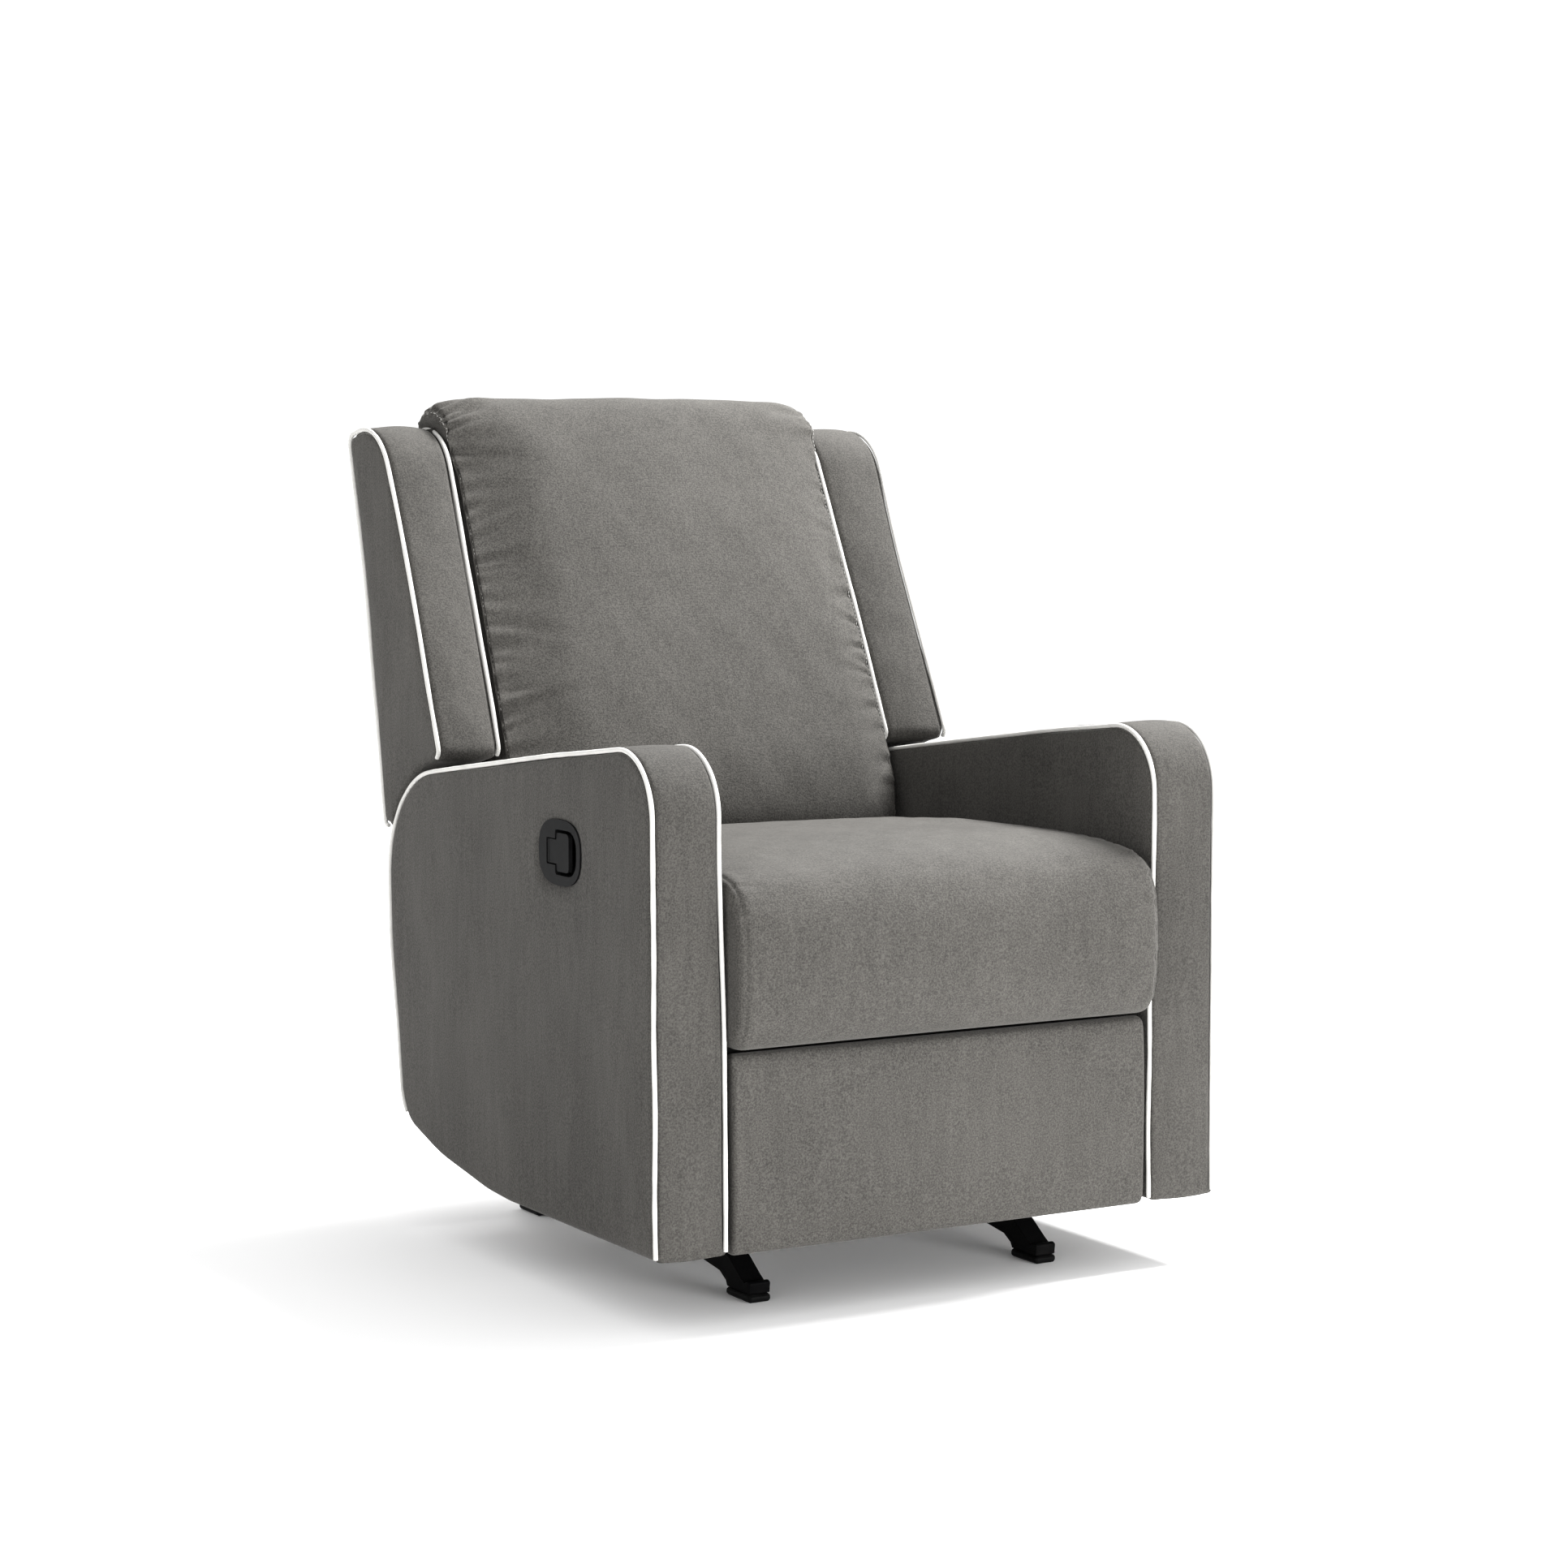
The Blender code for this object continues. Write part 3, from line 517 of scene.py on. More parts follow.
def piping(name, points, seed, wobble=0.0005):
    """A fabric-covered cord sewn into a seam, which wanders a little."""
    line = resampled(np.asarray(points, float), PIPING_STEP, closed=False)
    line = line + np.stack([ripple(line, PIPING_WAVE, seed + k) * wobble for k in range(3)],
                           axis=1)
    curve = bpy.data.curves.new(name, "CURVE")
    curve.dimensions = "3D"
    curve.bevel_depth = PIPING_R
    curve.bevel_resolution = 3
    curve.use_fill_caps = True
    spline = curve.splines.new("POLY")
    spline.points.add(len(line) - 1)
    swell = 1 + 0.05 * ripple(line, PIPING_LUMP, seed + 9)
    for point, position, size in zip(spline.points, line, swell):
        point.co = (*map(float, position), 1.0)
        point.radius = float(size)
    curve.materials.append(PIPING)
    return linked(name, curve)


SPINDLE = ((0.0, 0.25), (0.18, 0.9), (0.5, 1.0), (0.82, 0.9), (1.0, 0.25))
SPINDLE_SIDES = 6


def stitches(name, line):
    """A row of thread dashes along a line, each a small spindle."""
    line = resampled(line, STITCH_PITCH, closed=False)
    vertices, faces = [], []
    for a, b in zip(line, line[1:]):
        step = b - a
        along = unit(step)
        side = unit(np.cross(along, (0.3, 1.0, 0.2)))
        up = np.cross(side, along)
        start = len(vertices)
        for t, size in SPINDLE:
            centre = a + along * STITCH_LENGTH * t
            for k in range(SPINDLE_SIDES):
                angle = 2 * math.pi * k / SPINDLE_SIDES
                vertices.append(centre + (side * math.cos(angle) + up * math.sin(angle))
                                * STITCH_RADIUS * size)
        faces += [tuple(start + i for i in f) for f in ring_faces(len(SPINDLE), SPINDLE_SIDES)]
        faces += [tuple(range(first, first + SPINDLE_SIDES))
                  for first in (start, len(vertices) - SPINDLE_SIDES)]
    return new_piece(name, vertices, faces, THREAD)


def evened(mesh, values, rounds):
    """Values at the vertices, averaged with their neighbours a few times."""
    ends = np.empty(len(mesh.edges) * 2, np.int32)
    mesh.edges.foreach_get("vertices", ends)
    a, b = ends.reshape(-1, 2).T
    number = np.bincount(ends, minlength=len(values))[:, None]
    for _ in range(rounds):
        total = np.zeros_like(values)
        for k in range(values.shape[1]):
            total[:, k] = (np.bincount(a, values[b, k], len(values))
                           + np.bincount(b, values[a, k], len(values)))
        values = 0.4 * values + 0.6 * total / number
    return values


def puffed(piece, pinned, cap):
    """Blow the cover up with a cloth simulation, and cap how far each point travels."""
    rest = coordinates(piece.data)
    group = piece.vertex_groups.new(name="pinned")
    group.add([int(i) for i in np.nonzero(pinned)[0]], 1.0, "REPLACE")
    cloth = piece.modifiers.new("cloth", "CLOTH")
    settings = cloth.settings
    settings.quality = 4
    settings.mass = 0.25
    settings.tension_stiffness = settings.compression_stiffness = 12
    settings.shear_stiffness = 6
    settings.bending_stiffness = 0.4
    settings.use_pressure = True
    settings.uniform_pressure_force = CLOTH_PRESSURE
    settings.vertex_group_mass = group.name
    settings.effector_weights.gravity = 0
    cloth.collision_settings.use_collision = False
    cloth.point_cache.frame_start, cloth.point_cache.frame_end = 1, CLOTH_FRAMES
    scene = bpy.context.scene
    for number in range(1, CLOTH_FRAMES + 1):
        scene.frame_set(number)
    graph = bpy.context.evaluated_depsgraph_get()
    moved = coordinates(piece.evaluated_get(graph).data) - rest
    piece.modifiers.clear()
    piece.vertex_groups.clear()
    scene.frame_set(1)
    moved = evened(piece.data, moved, 12)
    travel = np.linalg.norm(moved, axis=1)
    moved *= (cap * np.tanh(travel / cap) / np.maximum(travel, 1e-9))[:, None]
    set_coordinates(piece.data, rest + moved)


def pucker(s, d, at, size, long, wide, lean):
    """One crease that starts at s = at on a seam, with a ridge beside it, and dies out with d."""
    inside = np.maximum(d, 0)
    off = s - at - lean * inside
    spread = wide * (1 + inside / long)
    fade = np.where(d > 0, np.exp(-(inside / long) ** 1.6), np.exp(-(d / 0.006) ** 2))
    return size * fade * (0.55 * np.exp(-((off - 1.6 * spread) / spread) ** 2)
                          - np.exp(-(off / spread) ** 2))


LONGEST_SEAM = 2.0


def folds(s, d, seed, spacing, reach, depth, width):
    """Puckers at seeded places s along a seam."""
    rng = np.random.default_rng(seed)
    total = np.zeros(len(s))
    at = rng.uniform(0, spacing)
    while at < LONGEST_SEAM:
        size = depth * rng.uniform(0.35, 1.0)
        long = reach * rng.uniform(0.4, 1.2)
        wide = width * rng.uniform(0.7, 1.5)
        lean = rng.uniform(-0.35, 0.35)
        total += pucker(s, d, at, size, long, wide, lean)
        at += spacing * rng.uniform(0.5, 1.6)
    return total


def loft(name, outline, half, edge, crown, lean=0.0, low=0.0, step=0.0068, cap=0.022):
    """A cushion lofted across the chair from (depth, height, share of the crown) points.

    edge is the radius of its sides, and it narrows by lean above the height low.
    It carries two attributes: along its outline, and inward from the nearer side seam.
    """
    profile = resampled(softened(np.array(outline, float), 2), step)
    push = outward(profile)
    around = distances(profile[:, :2])
    stations = [(half, edge + cap * k / 4) for k in (4, 3, 2, 1, 0)]
    stations += [(half - edge + edge * math.sin(t), edge * (1 - math.cos(t)))
                 for t in np.radians((74, 62, 50, 37, 24, 12))]
    inner = half - edge
    steps = round(inner / step)
    stations += [(inner * (1 - k / steps), 0.0) for k in range(steps + 1)]
    seam = next(k for k, (x, c) in enumerate(stations)
                if abs(x - (inner + edge * math.sin(SEAM_TURN))) < 1e-6)
    path = distances(np.array(stations))
    across = [(-x, c, path[k] - path[seam]) for k, (x, c) in enumerate(stations)]
    across += [(x, c, path[k] - path[seam]) for k, (x, c) in enumerate(stations)][-2::-1]
    vertices, s, d = [], [], []
    for x, cut, inward in across:
        swell = crown * (1 - (x / half) ** 2)
        at = profile[:, :2] + push * (swell * profile[:, 2:3] - cut)
        vertices.append(side_on(at[:, 0], at[:, 1], x * (1 - lean * (at[:, 1] - low) / half)))
        s.append(around)
        d.append(np.full(len(profile), inward))
    count = len(profile)
    faces = ring_faces(len(across), count)
    faces += [tuple(range(count)), tuple((len(across) - 1) * count + i for i in range(count))]
    piece = new_piece(name, np.concatenate(vertices), faces, VELOUR)
    add_attribute(piece.data, "along", np.concatenate(s))
    add_attribute(piece.data, "inward", np.concatenate(d))
    face_outwards(piece)
    return piece


# How a slab's cloth rounds over into its seams: (in from the edge, up from the face), where the
# seam is piped and where it is plain, and the same from the band's side.
PANEL_SEAM = (((0.0062, -0.0060), (0.0030, -0.0030)), ((0.0064, -0.0032), (0.0042, -0.0018)),
              ((0.0074, -0.0015), (0.0060, -0.0009)), ((0.0095, -0.0005), (0.0085, -0.0003)),
              ((0.0130, 0.0000), (0.0120, 0.0000)))
BAND_SEAM = (((0.0034, 0.0066), (0.0018, 0.0042)), ((0.0016, 0.0078), (0.0009, 0.0060)),
             ((0.0005, 0.0100), (0.0003, 0.0085)), ((0.0001, 0.0130), (0.0, 0.0120)))
SEAM_REACH = 0.013
PANEL_RINGS, BAND_STEP = 22, 0.007
HOLE_POWER = 2 / 2.7              # the hole is a superellipse
HEM = (0.004, 0.012, 0.026)       # the hole's cut edge is turned in this deep


def slab(name, outline, place, low, high, piped, material, seed, centre, pillow=0.0016,
         crown=0.0014, hole=None, step=0.006):
    """A padded slab: two side panels and the band between them, drawn in along piped seams.

    outline lies in its own plane, place(u, v, w) turns plane and thickness into the world,
    piped(points) says from 0 to 1 where its edges carry piping, and hole is half the size of
    an opening about the centre of the high face.
    """
    edge = resampled(outline, step)
    normal = outward(edge)
    count = len(edge)
    seamed = np.asarray(piped(edge), float)
    middle = np.array(centre)
    centred = np.repeat(middle[None], count, axis=0)
    reach = np.linalg.norm(middle - edge, axis=1)[:, None]
    inwards = (middle - edge) / reach
    inwards /= np.maximum(0.5, -np.sum(inwards * normal, axis=1))[:, None]

    def blended(sunk, plain):
        return seamed * sunk + (1 - seamed) * plain

    def panel(face, outwards, end):
        made = []
        for (sunk_in, sunk_up), (plain_in, plain_up) in PANEL_SEAM:
            at = edge + inwards * blended(sunk_in, plain_in)[:, None]
            made.append((at, face + outwards * blended(sunk_up, plain_up)))
        start = made[-1][0]
        for k in range(1, PANEL_RINGS + 1):
            share = (k / PANEL_RINGS) ** 1.25
            at = start + (end - start) * share
            rise = pillow * (1 - (1 - share) ** 6) + np.zeros(count)
            rise = rise + 0.0005 * ripple(at, 0.11, seed) * float(smooth_step(share, 0, 0.35))
            if hole and outwards > 0:
                rise = rise * float(smooth_step(1 - share, 0.0, 0.30))
            made.append((at, face + outwards * rise))
        return made

    opening = centred
    if hole:
        angle = np.arctan2(edge[:, 1] - middle[1], edge[:, 0] - middle[0])
        c, s = np.cos(angle), np.sin(angle)
        opening = middle + np.stack([np.sign(c) * np.abs(c) ** HOLE_POWER * hole[0],
                                     np.sign(s) * np.abs(s) ** HOLE_POWER * hole[1]], axis=1)
    low_panel, high_panel = panel(low, -1, centred), panel(high, 1, opening)
    if hole:
        high_panel += [(opening, np.full(count, high - drop)) for drop in HEM]
        high_panel.append((centred, np.full(count, high - HEM[-1])))

    def band_edge(face, into):
        return [(edge - normal * blended(sunk_in, plain_in)[:, None],
                 face + into * blended(sunk_up, plain_up))
                for (sunk_in, sunk_up), (plain_in, plain_up) in BAND_SEAM]

    rings = low_panel[::-1] + band_edge(low, 1)
    flat = high - low - 2 * SEAM_REACH
    inside = max(3, round(flat / BAND_STEP))
    for k in range(1, inside):
        t = k / inside
        w = low + SEAM_REACH + flat * t
        bulge = crown * 4 * t * (1 - t)
        bulge = bulge + 0.00035 * ripple(np.column_stack([edge, np.full(count, w)]), 0.07,
                                         seed + 5)
        rings.append((edge + normal * bulge[:, None], np.full(count, w)))
    rings += band_edge(high, -1)[::-1] + high_panel
    vertices = np.concatenate([place(at[:, 0], at[:, 1], np.broadcast_to(w, count))
                               for at, w in rings])
    faces = ring_faces(len(rings), count)
    piece = new_piece(name, vertices, faces, material)
    weld = piece.modifiers.new("weld", "WELD")
    weld.merge_threshold = WELD_GAP
    applied(piece)
    face_outwards(piece)
    piece.data.shade_smooth()
    return piece


def detailed(node, body, width, material):
    """The moulded or pressed piece for a CAD node, with its edges eased."""
    piece = linked(node + "_eased", NODES[node].data.copy())
    piece.data.shade_smooth()
    weld = piece.modifiers.new("weld", "WELD")
    weld.merge_threshold = WELD_GAP
    flat = piece.modifiers.new("flat", "DECIMATE")
    flat.decimate_type = "DISSOLVE"
    flat.angle_limit = math.radians(1)
    ease = piece.modifiers.new("ease", "BEVEL")
    ease.width = width
    ease.segments = 2
    ease.limit_method = "ANGLE"
    ease.angle_limit = math.radians(35)
    shade = piece.modifiers.new("shade", "WEIGHTED_NORMAL")
    shade.keep_sharp = True
    applied(piece)
    piece.data.materials.clear()
    piece.data.materials.append(material)
    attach(piece, body)
    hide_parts(node)


def dressed(piece, body, slot_name, *nodes):
    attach(piece, body)
    if nodes:
        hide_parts(*nodes)


# ---- arms -----------------------------------------------------------------------------------
ARM = rounded([
    (0.000, ARM_BOTTOM_Z, 0), (0.005, 0.661, 0.078), (0.250, 0.6335, 0.6),
    (0.721, 0.5715, 0.145), (0.713, 0.365, 0.5), (0.696, 0.258, 0.4), (0.684, 0.172, 0.03),
    (0.669, 0.137, 0.06), (0.572, 0.108, 0.3), (0.435, 0.0875, 0.3),
    (0.375, ARM_BOTTOM_Z + 0.001, 0),
])
ARM_FRONT = 0.3                   # ahead of this depth the arm's piping runs down to its bottom


def inner_flare(height):
    """The arm's inner face steps in a little above the seat."""
    return 0.0060 * smooth_step(height, 0.28, 0.56)


def arm_place(side):
    """From the arm's own plane to the world; the right arm is a little fuller and taller."""
    def place(depth, height, w):
        share = np.clip((ARM_OUTER_X - w) / (ARM_OUTER_X - ARM_INNER_X), 0, 1)
        fuller = 0.0055 * (1 - share) if side > 0 else 0.0
        taller = 0.0030 * smooth_step(height, 0.50, 0.62) if side > 0 else 0.0
        return side_on(depth, height + taller,
                       side * (w + inner_flare(height) * share + fuller))
    return place


def arm_piped(points):
    """From 0 to 1, how far the arm's piping runs at points of its outline."""
    bottom = smooth_step(points[:, 1], ARM_BOTTOM_Z + 0.001, ARM_BOTTOM_Z + 0.006)
    rear = smooth_step(points[:, 1], ARM_WELT_END_Z - 0.004, ARM_WELT_END_Z + 0.010)
    return np.where(points[:, 0] < ARM_FRONT, bottom, rear)


def piped_run(outline, inset, keep):
    """The part of an inset outline that keep(points) picks, in order along the outline."""
    points = resampled(outline, 0.004)
    line = inset_outline(points, inset)
    chosen = keep(points)
    start = next(i for i in range(len(points)) if chosen[i] and not chosen[i - 1])
    count = next(k for k in range(len(points)) if not chosen[(start + k) % len(points)])
    return line[(start + np.arange(count)) % len(points)]


ARM_RUN = piped_run(ARM, ARM_WELT_INSET, lambda p: (p[:, 1] > ARM_BOTTOM_Z + 0.0015)
                    & ((p[:, 0] < ARM_FRONT) | (p[:, 1] > ARM_WELT_END_Z)))
if ARM_RUN[0][0] > ARM_RUN[-1][0]:
    ARM_RUN = ARM_RUN[::-1]
for tag, side in SIDES:
    opening = tuple(half - BEZEL_COVERS for half in BEZEL_HALF) if side < 0 else None
    cover = slab("arm_cover_" + tag, ARM, arm_place(side), ARM_INNER_X, ARM_OUTER_X,
                 arm_piped, VELOUR_PAINTED_SHADE, seed=11 + side, centre=BEZEL_CENTRE, hole=opening)
    dressed(cover, "chassis", "velour", "arm_outer_panel_" + tag,
            "arm_inner_panel_" + tag, "arm_border_" + tag)
    for where, w in (("outer", ARM_OUTER_X - ARM_WELT_INSET),
                     ("inner", ARM_INNER_X + ARM_WELT_INSET)):
        run = arm_place(side)(ARM_RUN[:, 0], ARM_RUN[:, 1], np.full(len(ARM_RUN), w))
        cord = piping(f"arm_welt_{where}_{tag}", run, seed=20 + side + len(where) * (w > 0.3))
        dressed(cord, "chassis", "piping", f"arm_piping_{where}_{tag}")


# ---- wings and outside back -----------------------------------------------------------------
def wing_notch():
    """The arm's rear top edge, moved out by the notch gap, down to the wing's lowest point."""
    arm = resampled(ARM, 0.006)
    moved = inset_outline(arm, -NOTCH_GAP)
    edge = [tuple(q) for p, q in zip(arm, moved)
            if p[0] > 0.56 and p[1] > 0.40 and q[0] > 0.592 and q[1] > WING_TAIL_Z]
    edge.sort(key=lambda q: -q[1])
    return [(x, z, 0) for x, z in edge]


tail, crest = back_point(-0.008, -SKIN), back_point(0.5080, -SKIN)
NOTCH = wing_notch()
WING = rounded(
    [(0.5765, 0.6040, 0.012), (0.6180, 0.7000, 0), (0.6866, 0.8500, 0),
     (0.7680, 1.0265, 0.085), (*crest, 0.013), (*tail, 0.009),
     (NOTCH[-1][0], NOTCH[-1][1] - 0.001, 0.004)] + NOTCH[::-1])


def wing_place(side):
    """From the wing's own plane to the world: it leans in, and flares out again near the top."""
    def place(depth, height, w):
        share = np.clip((w - WING_X[0]) / (WING_X[1] - WING_X[0]), 0, 1)
        ahead = ahead_of_plane(np.stack(np.broadcast_arrays(depth, height), axis=-1))
        x = w - WING_LEAN * (height - WING_FOOT_Z)
        x = x + (0.0080 if side > 0 else 0.0050) * share * smooth_step(height, 0.82, 1.02)
        set_back = 0.0085 * (1 - share) ** 2 * smooth_step(ahead, 0.0, 0.06)
        return side_on(depth + set_back, height, side * x)
    return place


def ahead_of_plane(points):
    """How far a point lies ahead of the back's rear plane."""
    normal = np.array((math.cos(BACK_RAKE), -math.sin(BACK_RAKE)))
    return -(points - np.array(BACK_FOOT)) @ normal


def along_plane(points):
    """How far up along the back's rear plane a point lies."""
    return (points - np.array(BACK_FOOT)) @ np.array((math.sin(BACK_RAKE), math.cos(BACK_RAKE)))


def wing_notched(points):
    """True along a wing's underside, which carries no piping."""
    return (points[:, 1] < 0.6015) & (ahead_of_plane(points) > 0.012)


def wing_piped(points):
    return np.where(wing_notched(points), 0.0, 1.0)


OUTER_RUN = piped_run(WING, WING_WELT_INSET, lambda p: ~wing_notched(p))
INNER_RUN = piped_run(WING, WING_WELT_INSET, lambda p: ~wing_notched(p)
                      & ((ahead_of_plane(p) > 0.006) | (along_plane(p) > 0.497)))
for tag, side in SIDES:
    cover = slab("wing_cover_" + tag, WING, wing_place(side), WING_X[0] + WING_SLACK,
                 WING_X[1] - WING_SLACK, wing_piped, VELOUR_PAINTED_SHADE, seed=31 + side,
                 centre=(0.735, 0.800), pillow=0.0012, crown=0.0022, step=0.005)
    dressed(cover, "back", "velour", "wing_" + tag)
    for where, w, run in (("outer", WING_X[1] - WING_WELT_INSET, OUTER_RUN),
                          ("inner", WING_X[0] + WING_WELT_INSET, INNER_RUN)):
        line = wing_place(side)(run[:, 0], run[:, 1], np.full(len(run), w))
        cord = piping(f"wing_welt_{where}_{tag}", line, seed=40 + side, wobble=0.0004)
        dressed(cord, "back", "piping", f"wing_piping_{where}_{tag}")

PANEL_HALF = [(0.000, 0.499, 0), (0.3555, 0.499, 0.012), (0.3700, 0.003, 0.010),
              (0.281, 0.003, 0.004), (0.281, -0.290, 0.01), (0.0, -0.290, 0)]
right = rounded(PANEL_HALF)
PANEL = np.vstack([right[:-1], (right * (-1, 1))[::-1][:-1]])


def back_place(across, along, behind):
    depth, height = back_point(along, behind)
    return side_on(depth, height, across)


outside = slab("outside_back_cover", PANEL, back_place, 0.0010, 0.0080,
               lambda p: np.zeros(len(p)), VELOUR, seed=51, centre=(0.0, 0.2),
               pillow=0.0022, crown=0.0)
dressed(outside, "back", "velour", "outside_back_panel")

# ---- cushions -------------------------------------------------------------------------------
CUSHION_REACH = 0.2884            # half the width of the seat, which the covers keep within
CALM_SEAM = 0.0015                # cloth this near a seam is pinned to it
PINNED_SIDE = 0.012               # and so is what lies this far round on the side
CREASE_WIDTH, SEAM_WIDTH = 0.0040, 0.0022
SEAT_BOTTOM = 0.3145
SEAT = [(0.050, SEAT_BOTTOM, 0), (0.010, 0.3116, 0), (-0.012, 0.3155, 0), (-0.024, 0.334, 0.1),
        (-0.029, 0.366, 0.2), (-0.030, 0.400, 0.3), (-0.029, 0.440, 0.5), (-0.022, 0.476, 0.7),
        (-0.002, 0.503, 0.9), (0.040, 0.514, 1), (0.120, 0.518, 1), (0.240, 0.518, 1),
        (0.380, 0.512, 1), (0.480, 0.503, 0.8), (0.524, 0.495, 0.4), (0.5350, 0.480, 0),
        (0.5350, 0.400, 0), (0.5350, 0.330, 0), (0.525, SEAT_BOTTOM, 0),
        (0.300, SEAT_BOTTOM, 0)]
seat = loft("seat_cover", SEAT, half=0.2880, edge=0.018, crown=0.004)


def edge_rows(mesh):
    """How far along its outline, and in from the nearer seam, each point of a cushion lies."""
    return attribute(mesh, "along"), attribute(mesh, "inward")


def simulate(piece, hidden, cap):
    """Pin the seams and what rests on the frame, and puff the rest."""
    _, inward = edge_rows(piece.data)
    at_seam = (np.abs(inward) < CALM_SEAM) | (inward < -PINNED_SIDE)
    puffed(piece, at_seam | hidden(coordinates(piece.data)), cap)


def reshaped(piece, points):
    set_coordinates(piece.data, points)
    piece.data.shade_smooth()


def seat_hidden(points):
    depth = points[:, 1] - FRONT_Y
    return (points[:, 2] < 0.317) | (depth > 0.533)


simulate(seat, seat_hidden, SEAT_TRAVEL)
subdivided(seat)
points, normal = coordinates(seat.data), vertex_normals(seat.data)
s, d = edge_rows(seat.data)
depth, height = points[:, 1] - FRONT_Y, points[:, 2]
left = points[:, 0] < 0
front = smooth_step(-depth, -0.20, 0.01)
crease = np.where(
    left, folds(s, d, 61, spacing=0.034, reach=0.030, depth=0.0022, width=CREASE_WIDTH),
    folds(s, d, 62, spacing=0.026, reach=0.034, depth=0.0030, width=CREASE_WIDTH))
seam = -0.0016 * np.exp(-(d / SEAM_WIDTH) ** 2)
undulate = 0.0011 * ripple(points, 0.16, 63) + 0.0005 * ripple(points, 0.055, 64)
visible = smooth_step(height, 0.316, 0.335) * smooth_step(-depth, -0.53, -0.50)
calm = smooth_step(d, 0.0, 0.05)
move = (seam + crease * (0.25 + 0.75 * front) + undulate * calm) * visible
points += normal * move[:, None]
points[:, 0] = np.clip(points[:, 0], -CUSHION_REACH, CUSHION_REACH)
reshaped(seat, points)
dressed(seat, "chassis", "velour", "seat_cushion")

BACK_LOW = 0.449
BACK_REST = -0.0210               # the cushion's rear, measured from the back's rear plane
BACK = [(0.556, BACK_LOW, 0), (0.5435, 0.462, 0.1), (0.5405, 0.500, 0.5), (0.5590, 0.560, 0.9),
        (0.5850, 0.626, 1), (0.6210, 0.708, 1), (0.6570, 0.790, 1), (0.6955, 0.874, 1),
        (0.7330, 0.950, 1), (0.7570, 1.000, 0.8), (0.7690, 1.031, 0.5), (0.7850, 1.0480, 0.3),
        (0.8120, 1.0510, 0.3), (0.8440, 1.0440, 0.2), (0.8620, 1.0200, 0.1),
        (*back_point(0.4845, -SKIN), 0), (*back_point(0.4845, BACK_REST), 0),
        (*back_point(0.3000, BACK_REST), 0), (*back_point(0.1000, BACK_REST), 0),
        (*back_point(-0.0600, BACK_REST), 0), (0.640, BACK_LOW, 0)]
back = loft("back_cover", BACK, half=0.2866, edge=0.013, crown=0.015, lean=WING_LEAN,
            low=BACK_LOW)
BACK_TOP = (0.790, 1.049)
# The three pleats below the left top corner: how far below it, depth, length and slant.
CORNER_PLEATS = ((0.042, 0.0075, 0.040, 0.25), (0.028, 0.0105, 0.048, 0.32),
                 (0.015, 0.0095, 0.052, 0.22))
PLEAT_WIDTH = 0.0036
CORNER_START, CORNER_WIDTH, CORNER_DROP = 0.226, 0.068, 0.032


def back_hidden(points):
    flat = np.column_stack([points[:, 1] - FRONT_Y, points[:, 2]])
    ahead = ahead_of_plane(flat)
    return ((ahead < 0.023) & (flat[:, 1] < 1.0)) | (flat[:, 1] < 0.452)


def back_limit(height):
    """Half the room between the wings' inner piping, and open above the wings."""
    between = WING_X[0] + WING_WELT_INSET - PIPING_R + 0.0030
    between = np.minimum(between - WING_LEAN * (height - WING_FOOT_Z), CUSHION_REACH)
    between = between + 0.0062 * smooth_step(height, 0.945, 0.985)
    return between + 0.014 * smooth_step(height, 1.000, 1.022)


simulate(back, back_hidden, BACK_TRAVEL)
subdivided(back)
points, normal = coordinates(back.data), vertex_normals(back.data)
s, d = edge_rows(back.data)
depth, height = points[:, 1] - FRONT_Y, points[:, 2]
left = points[:, 0] < 0
ahead = ahead_of_plane(np.column_stack([depth, height]))
in_front = smooth_step(ahead, 0.03, 0.06)
corner = smooth_step(height, 0.985, 1.035)
crease = np.where(
    left, folds(s, d, 71, spacing=0.019, reach=0.058, depth=0.0064, width=0.0042),
    folds(s, d, 72, spacing=0.030, reach=0.026, depth=0.0044, width=CREASE_WIDTH))
pleat = corner * folds(s, d, 73, spacing=0.016, reach=0.052, depth=0.0060, width=0.0048)
top_s = s[np.argmin(np.hypot(depth - BACK_TOP[0], height - BACK_TOP[1]))]
for below, size, long, lean in CORNER_PLEATS:
    pleat += left * pucker(s, d, top_s - below, size, long, PLEAT_WIDTH, lean)
roll = np.where(left, -0.0185 * (1 - smooth_step(d, -0.002, 0.115)),
                -0.0060 * (1 - smooth_step(d, -0.002, 0.055))) * (1 - corner)
seam = -0.0022 * np.exp(-(d / SEAM_WIDTH) ** 2)
undulate = 0.0009 * ripple(points, 0.19, 74) + 0.0005 * ripple(points, 0.06, 75)
calm = smooth_step(d, 0.0, 0.06)
visible = np.maximum(in_front, corner) * smooth_step(height, 0.47, 0.50)
move = (seam + roll + crease * (1 - 0.5 * corner) + pleat + undulate * calm) * visible
points += normal * move[:, None]
out = np.abs(points[:, 0])
mushroom = 0.008 + 0.006 * smooth_step(height, 0.945, 0.985)
mushroom = mushroom - left * 0.0040 * smooth_step(height, 1.000, 1.015)
mushroom = mushroom * smooth_step(out, 0.20, 0.265) * smooth_step(height, 0.50, 0.56)
points[:, 0] += np.sign(points[:, 0]) * mushroom
turn = np.clip((np.abs(points[:, 0]) - CORNER_START) / CORNER_WIDTH, 0, 1)
points[:, 2] -= (CORNER_DROP * (1 - np.sqrt(1 - turn ** 2))
                 * smooth_step(height, 1.005, 1.040))
limit = back_limit(height)
points[:, 0] = np.clip(points[:, 0], -limit, limit)
reshaped(back, points)
dressed(back, "back", "velour", "back_cushion")

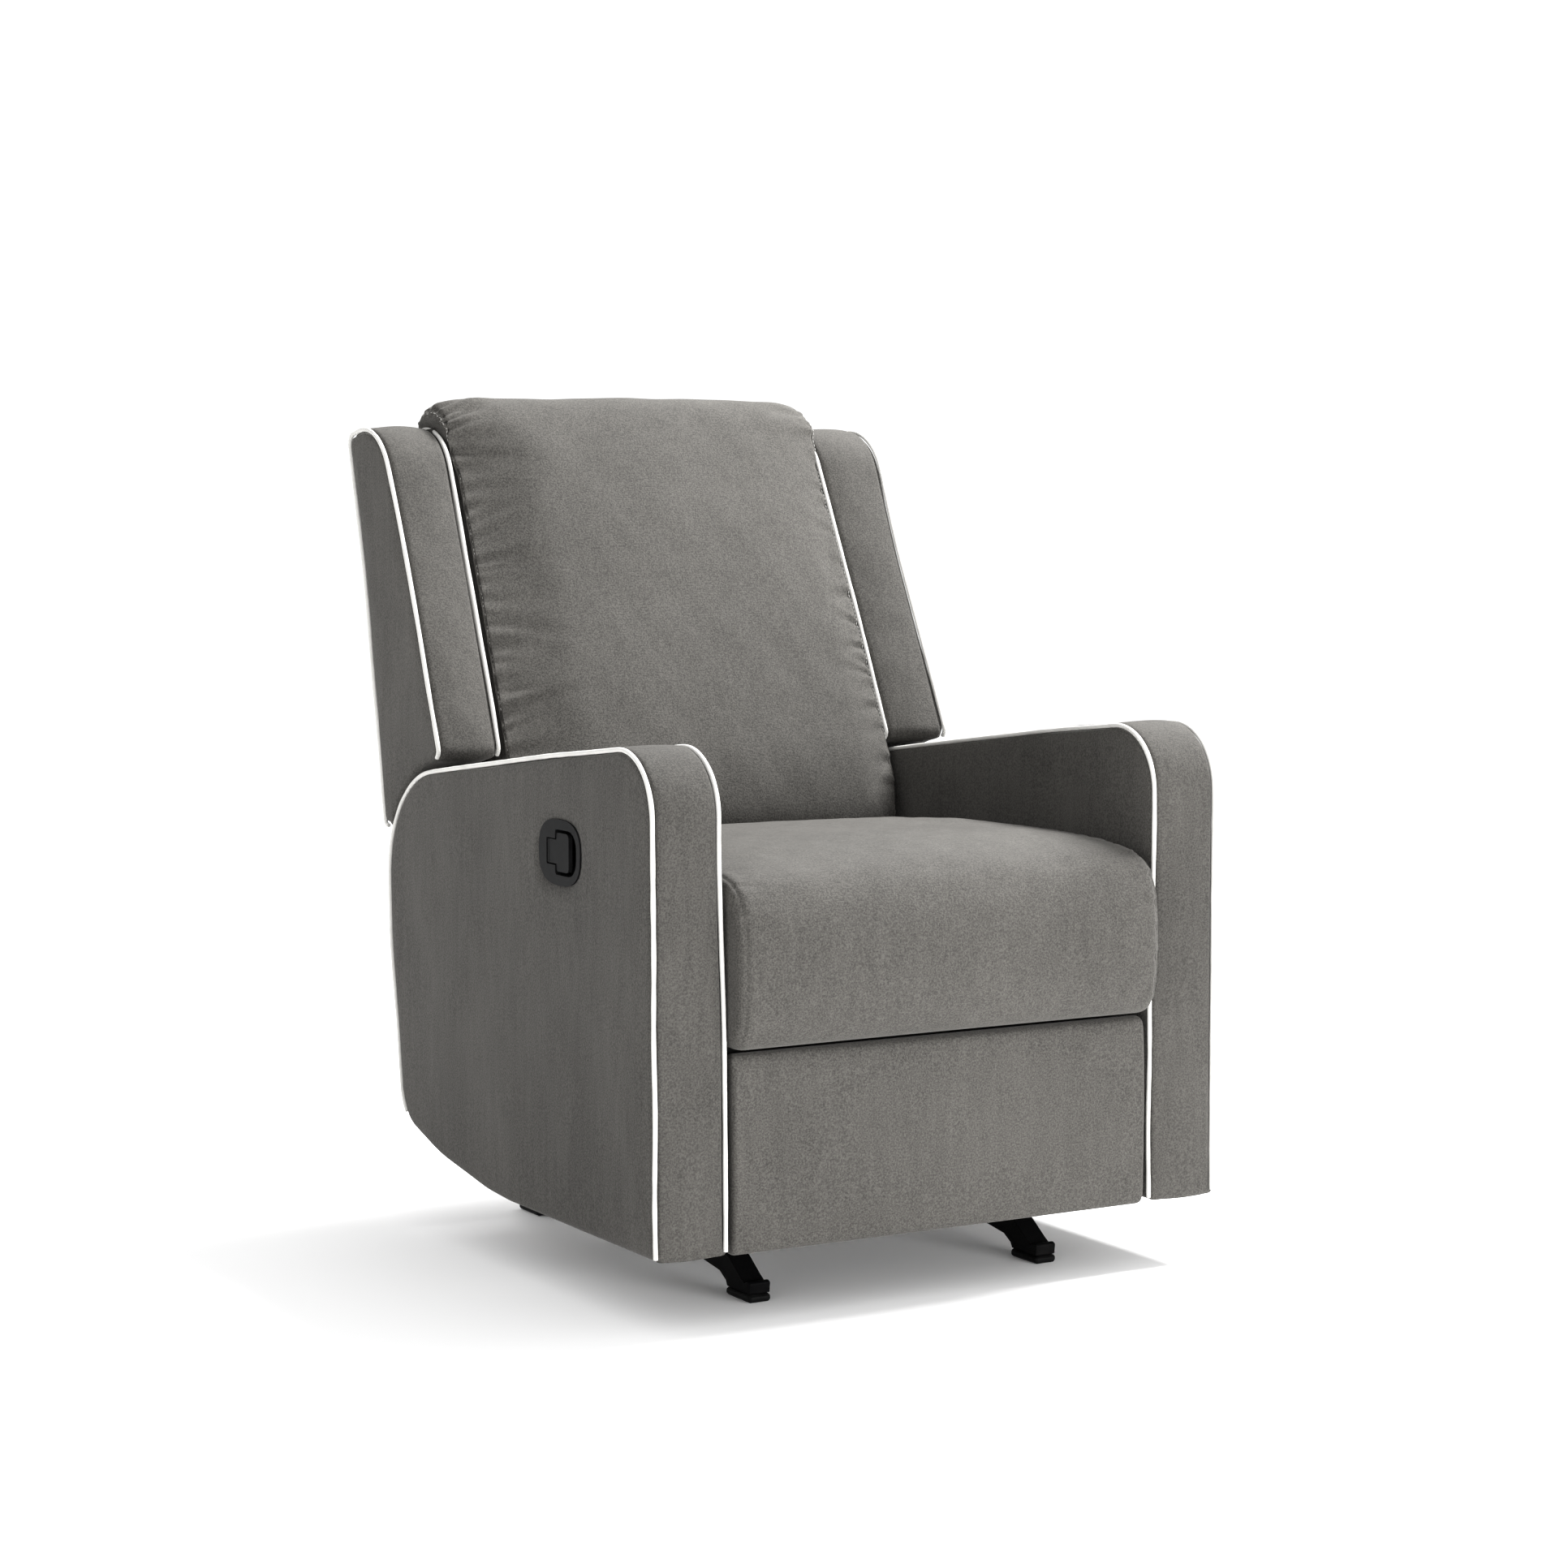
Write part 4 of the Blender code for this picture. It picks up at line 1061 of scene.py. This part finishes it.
PAD = [(0.0285, 0.080, 0), (0.0060, 0.0782, 0), (-0.0008, 0.086, 0.5), (-0.0020, 0.130, 1),
       (-0.0026, 0.198, 1), (-0.0020, 0.260, 1), (-0.0008, 0.300, 0.5), (0.0060, 0.3085, 0),
       (0.0285, 0.3085, 0), (0.0285, 0.200, 0)]
DIMPLE = (0.262, 0.135)           # a small dent (x, height) near the pad's right edge
pad = loft("footrest_cover", PAD, half=0.2832, edge=0.006, crown=0.0014, step=0.0055,
           cap=0.006)
subdivided(pad)
points, normal = coordinates(pad.data), vertex_normals(pad.data)
face = smooth_step(FRONT_Y + 0.006 - points[:, 1], 0.0, 0.004)
flat = points[:, [0, 2]]
dimple = -0.0016 * np.exp(-np.sum(((flat - DIMPLE) / 0.012) ** 2, axis=1))
off = flat[:, 0] + 0.215 - 0.10 * (flat[:, 1] - 0.24)
crease = -0.0007 * np.exp(-(off / 0.005) ** 2) * smooth_step(flat[:, 1], 0.20, 0.28)
move = 0.0008 * ripple(points, 0.17, 81) + 0.0003 * ripple(points, 0.05, 82) + dimple + crease
points += normal * (move * face)[:, None]
reshaped(pad, points)
dressed(pad, "footrest_panel", "velour", "footrest_pad")

# ---- stitching beside the back cushion's side seams -----------------------------------------
THREAD_LIFT = 0.0002
surface = coordinates(back.data)
s_all, d_all = edge_rows(back.data)
for tag, side in SIDES:
    near = np.abs(d_all + STITCH_BACK) < 0.0012
    rows = np.nonzero((np.sign(surface[:, 0]) == side) & near)[0]
    flat = np.column_stack([surface[rows, 1] - FRONT_Y, surface[rows, 2]])
    rows = rows[(ahead_of_plane(flat) > 0.035) & (flat[:, 1] > 0.60)]
    rows = rows[np.argsort(s_all[rows])]
    lifted = surface[rows] + vertex_normals(back.data)[rows] * THREAD_LIFT
    seam_thread = stitches("back_stitch_" + tag, lifted)
    dressed(seam_thread, "back", "velour")

# ---- handle, feet, rails and springs --------------------------------------------------------
detailed("handle_bezel", "chassis", 0.0012, PLASTIC)
detailed("release_handle", "release", 0.0010, PLASTIC)
for tag, _ in SIDES:
    detailed("base_rail_" + tag, "base", 0.0016, STEEL)
    for end in ("front", "rear"):
        detailed(f"foot_glide_{end}_{tag}", "base", 0.0010, RUBBER)

for tag, _ in SIDES:
    coil = linked("rocker_spring_coil_" + tag, NODES["rocker_spring_" + tag].data.copy())
    coil.matrix_world = NODES["rocker_spring_" + tag].matrix_world
    coil.data.shade_smooth()
    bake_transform(coil)
    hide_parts("rocker_spring_" + tag)

# ---- studio ---------------------------------------------------------------------------------
FLOOR_REACH = 60.0
floor_mesh = bpy.data.meshes.new("studio_floor")
floor_mesh.from_pydata([(x * FLOOR_REACH, y * FLOOR_REACH, 0)
                        for x, y in ((-1, -1), (1, -1), (1, 1), (-1, 1))], [], [(0, 1, 2, 3)])
floor_mesh.materials.append(floor_paint("studio_floor_paint"))
floor = linked("studio_floor", floor_mesh)

world = bpy.data.worlds.new("studio")
bpy.context.scene.world = world
world.use_nodes = True
world.node_tree.nodes["Background"].inputs["Color"].default_value = (1.0, 1.0, 1.0, 1.0)
world.node_tree.nodes["Background"].inputs["Strength"].default_value = 1.13
bpy.context.scene.view_settings.view_transform = "Standard"


def softbox(name, place, target, size, power):
    light = bpy.data.lights.new(name, "AREA")
    light.shape = "RECTANGLE"
    light.size, light.size_y = size
    light.energy = power
    lamp = linked(name, light)
    lamp.location = place
    lamp.rotation_euler = (Vector(target) - Vector(place)).to_track_quat("-Z", "Y").to_euler()


softbox("key_softbox", place=(2.1, 0.15, 3.7), target=(0.0, 0.0, 0.55), size=(1.6, 1.6),
        power=560)
softbox("low_front_softbox", place=(0.7, -3.2, 0.4), target=(0.0, 0.0, 0.25), size=(1.6, 0.8),
        power=95)
softbox("left_fill_softbox", place=(-2.9, -2.0, 0.7), target=(0.0, 0.0, 0.35),
        size=(1.6, 1.0), power=16)

CAMERA_PLACE = (-2.186, FRONT_Y - 3.350, 0.961)
CAMERA_DOWN, CAMERA_TURN = math.radians(5.284), math.radians(30)
camera_data = bpy.data.cameras.new("camera")
camera_data.lens = 80.1
camera_data.sensor_width = 36
camera_data.shift_x, camera_data.shift_y = 0.0165, 0.0049
camera = linked("camera", camera_data)
camera.location = CAMERA_PLACE
camera.rotation_euler = (math.pi / 2 - CAMERA_DOWN, 0, -CAMERA_TURN)
bpy.context.scene.camera = camera
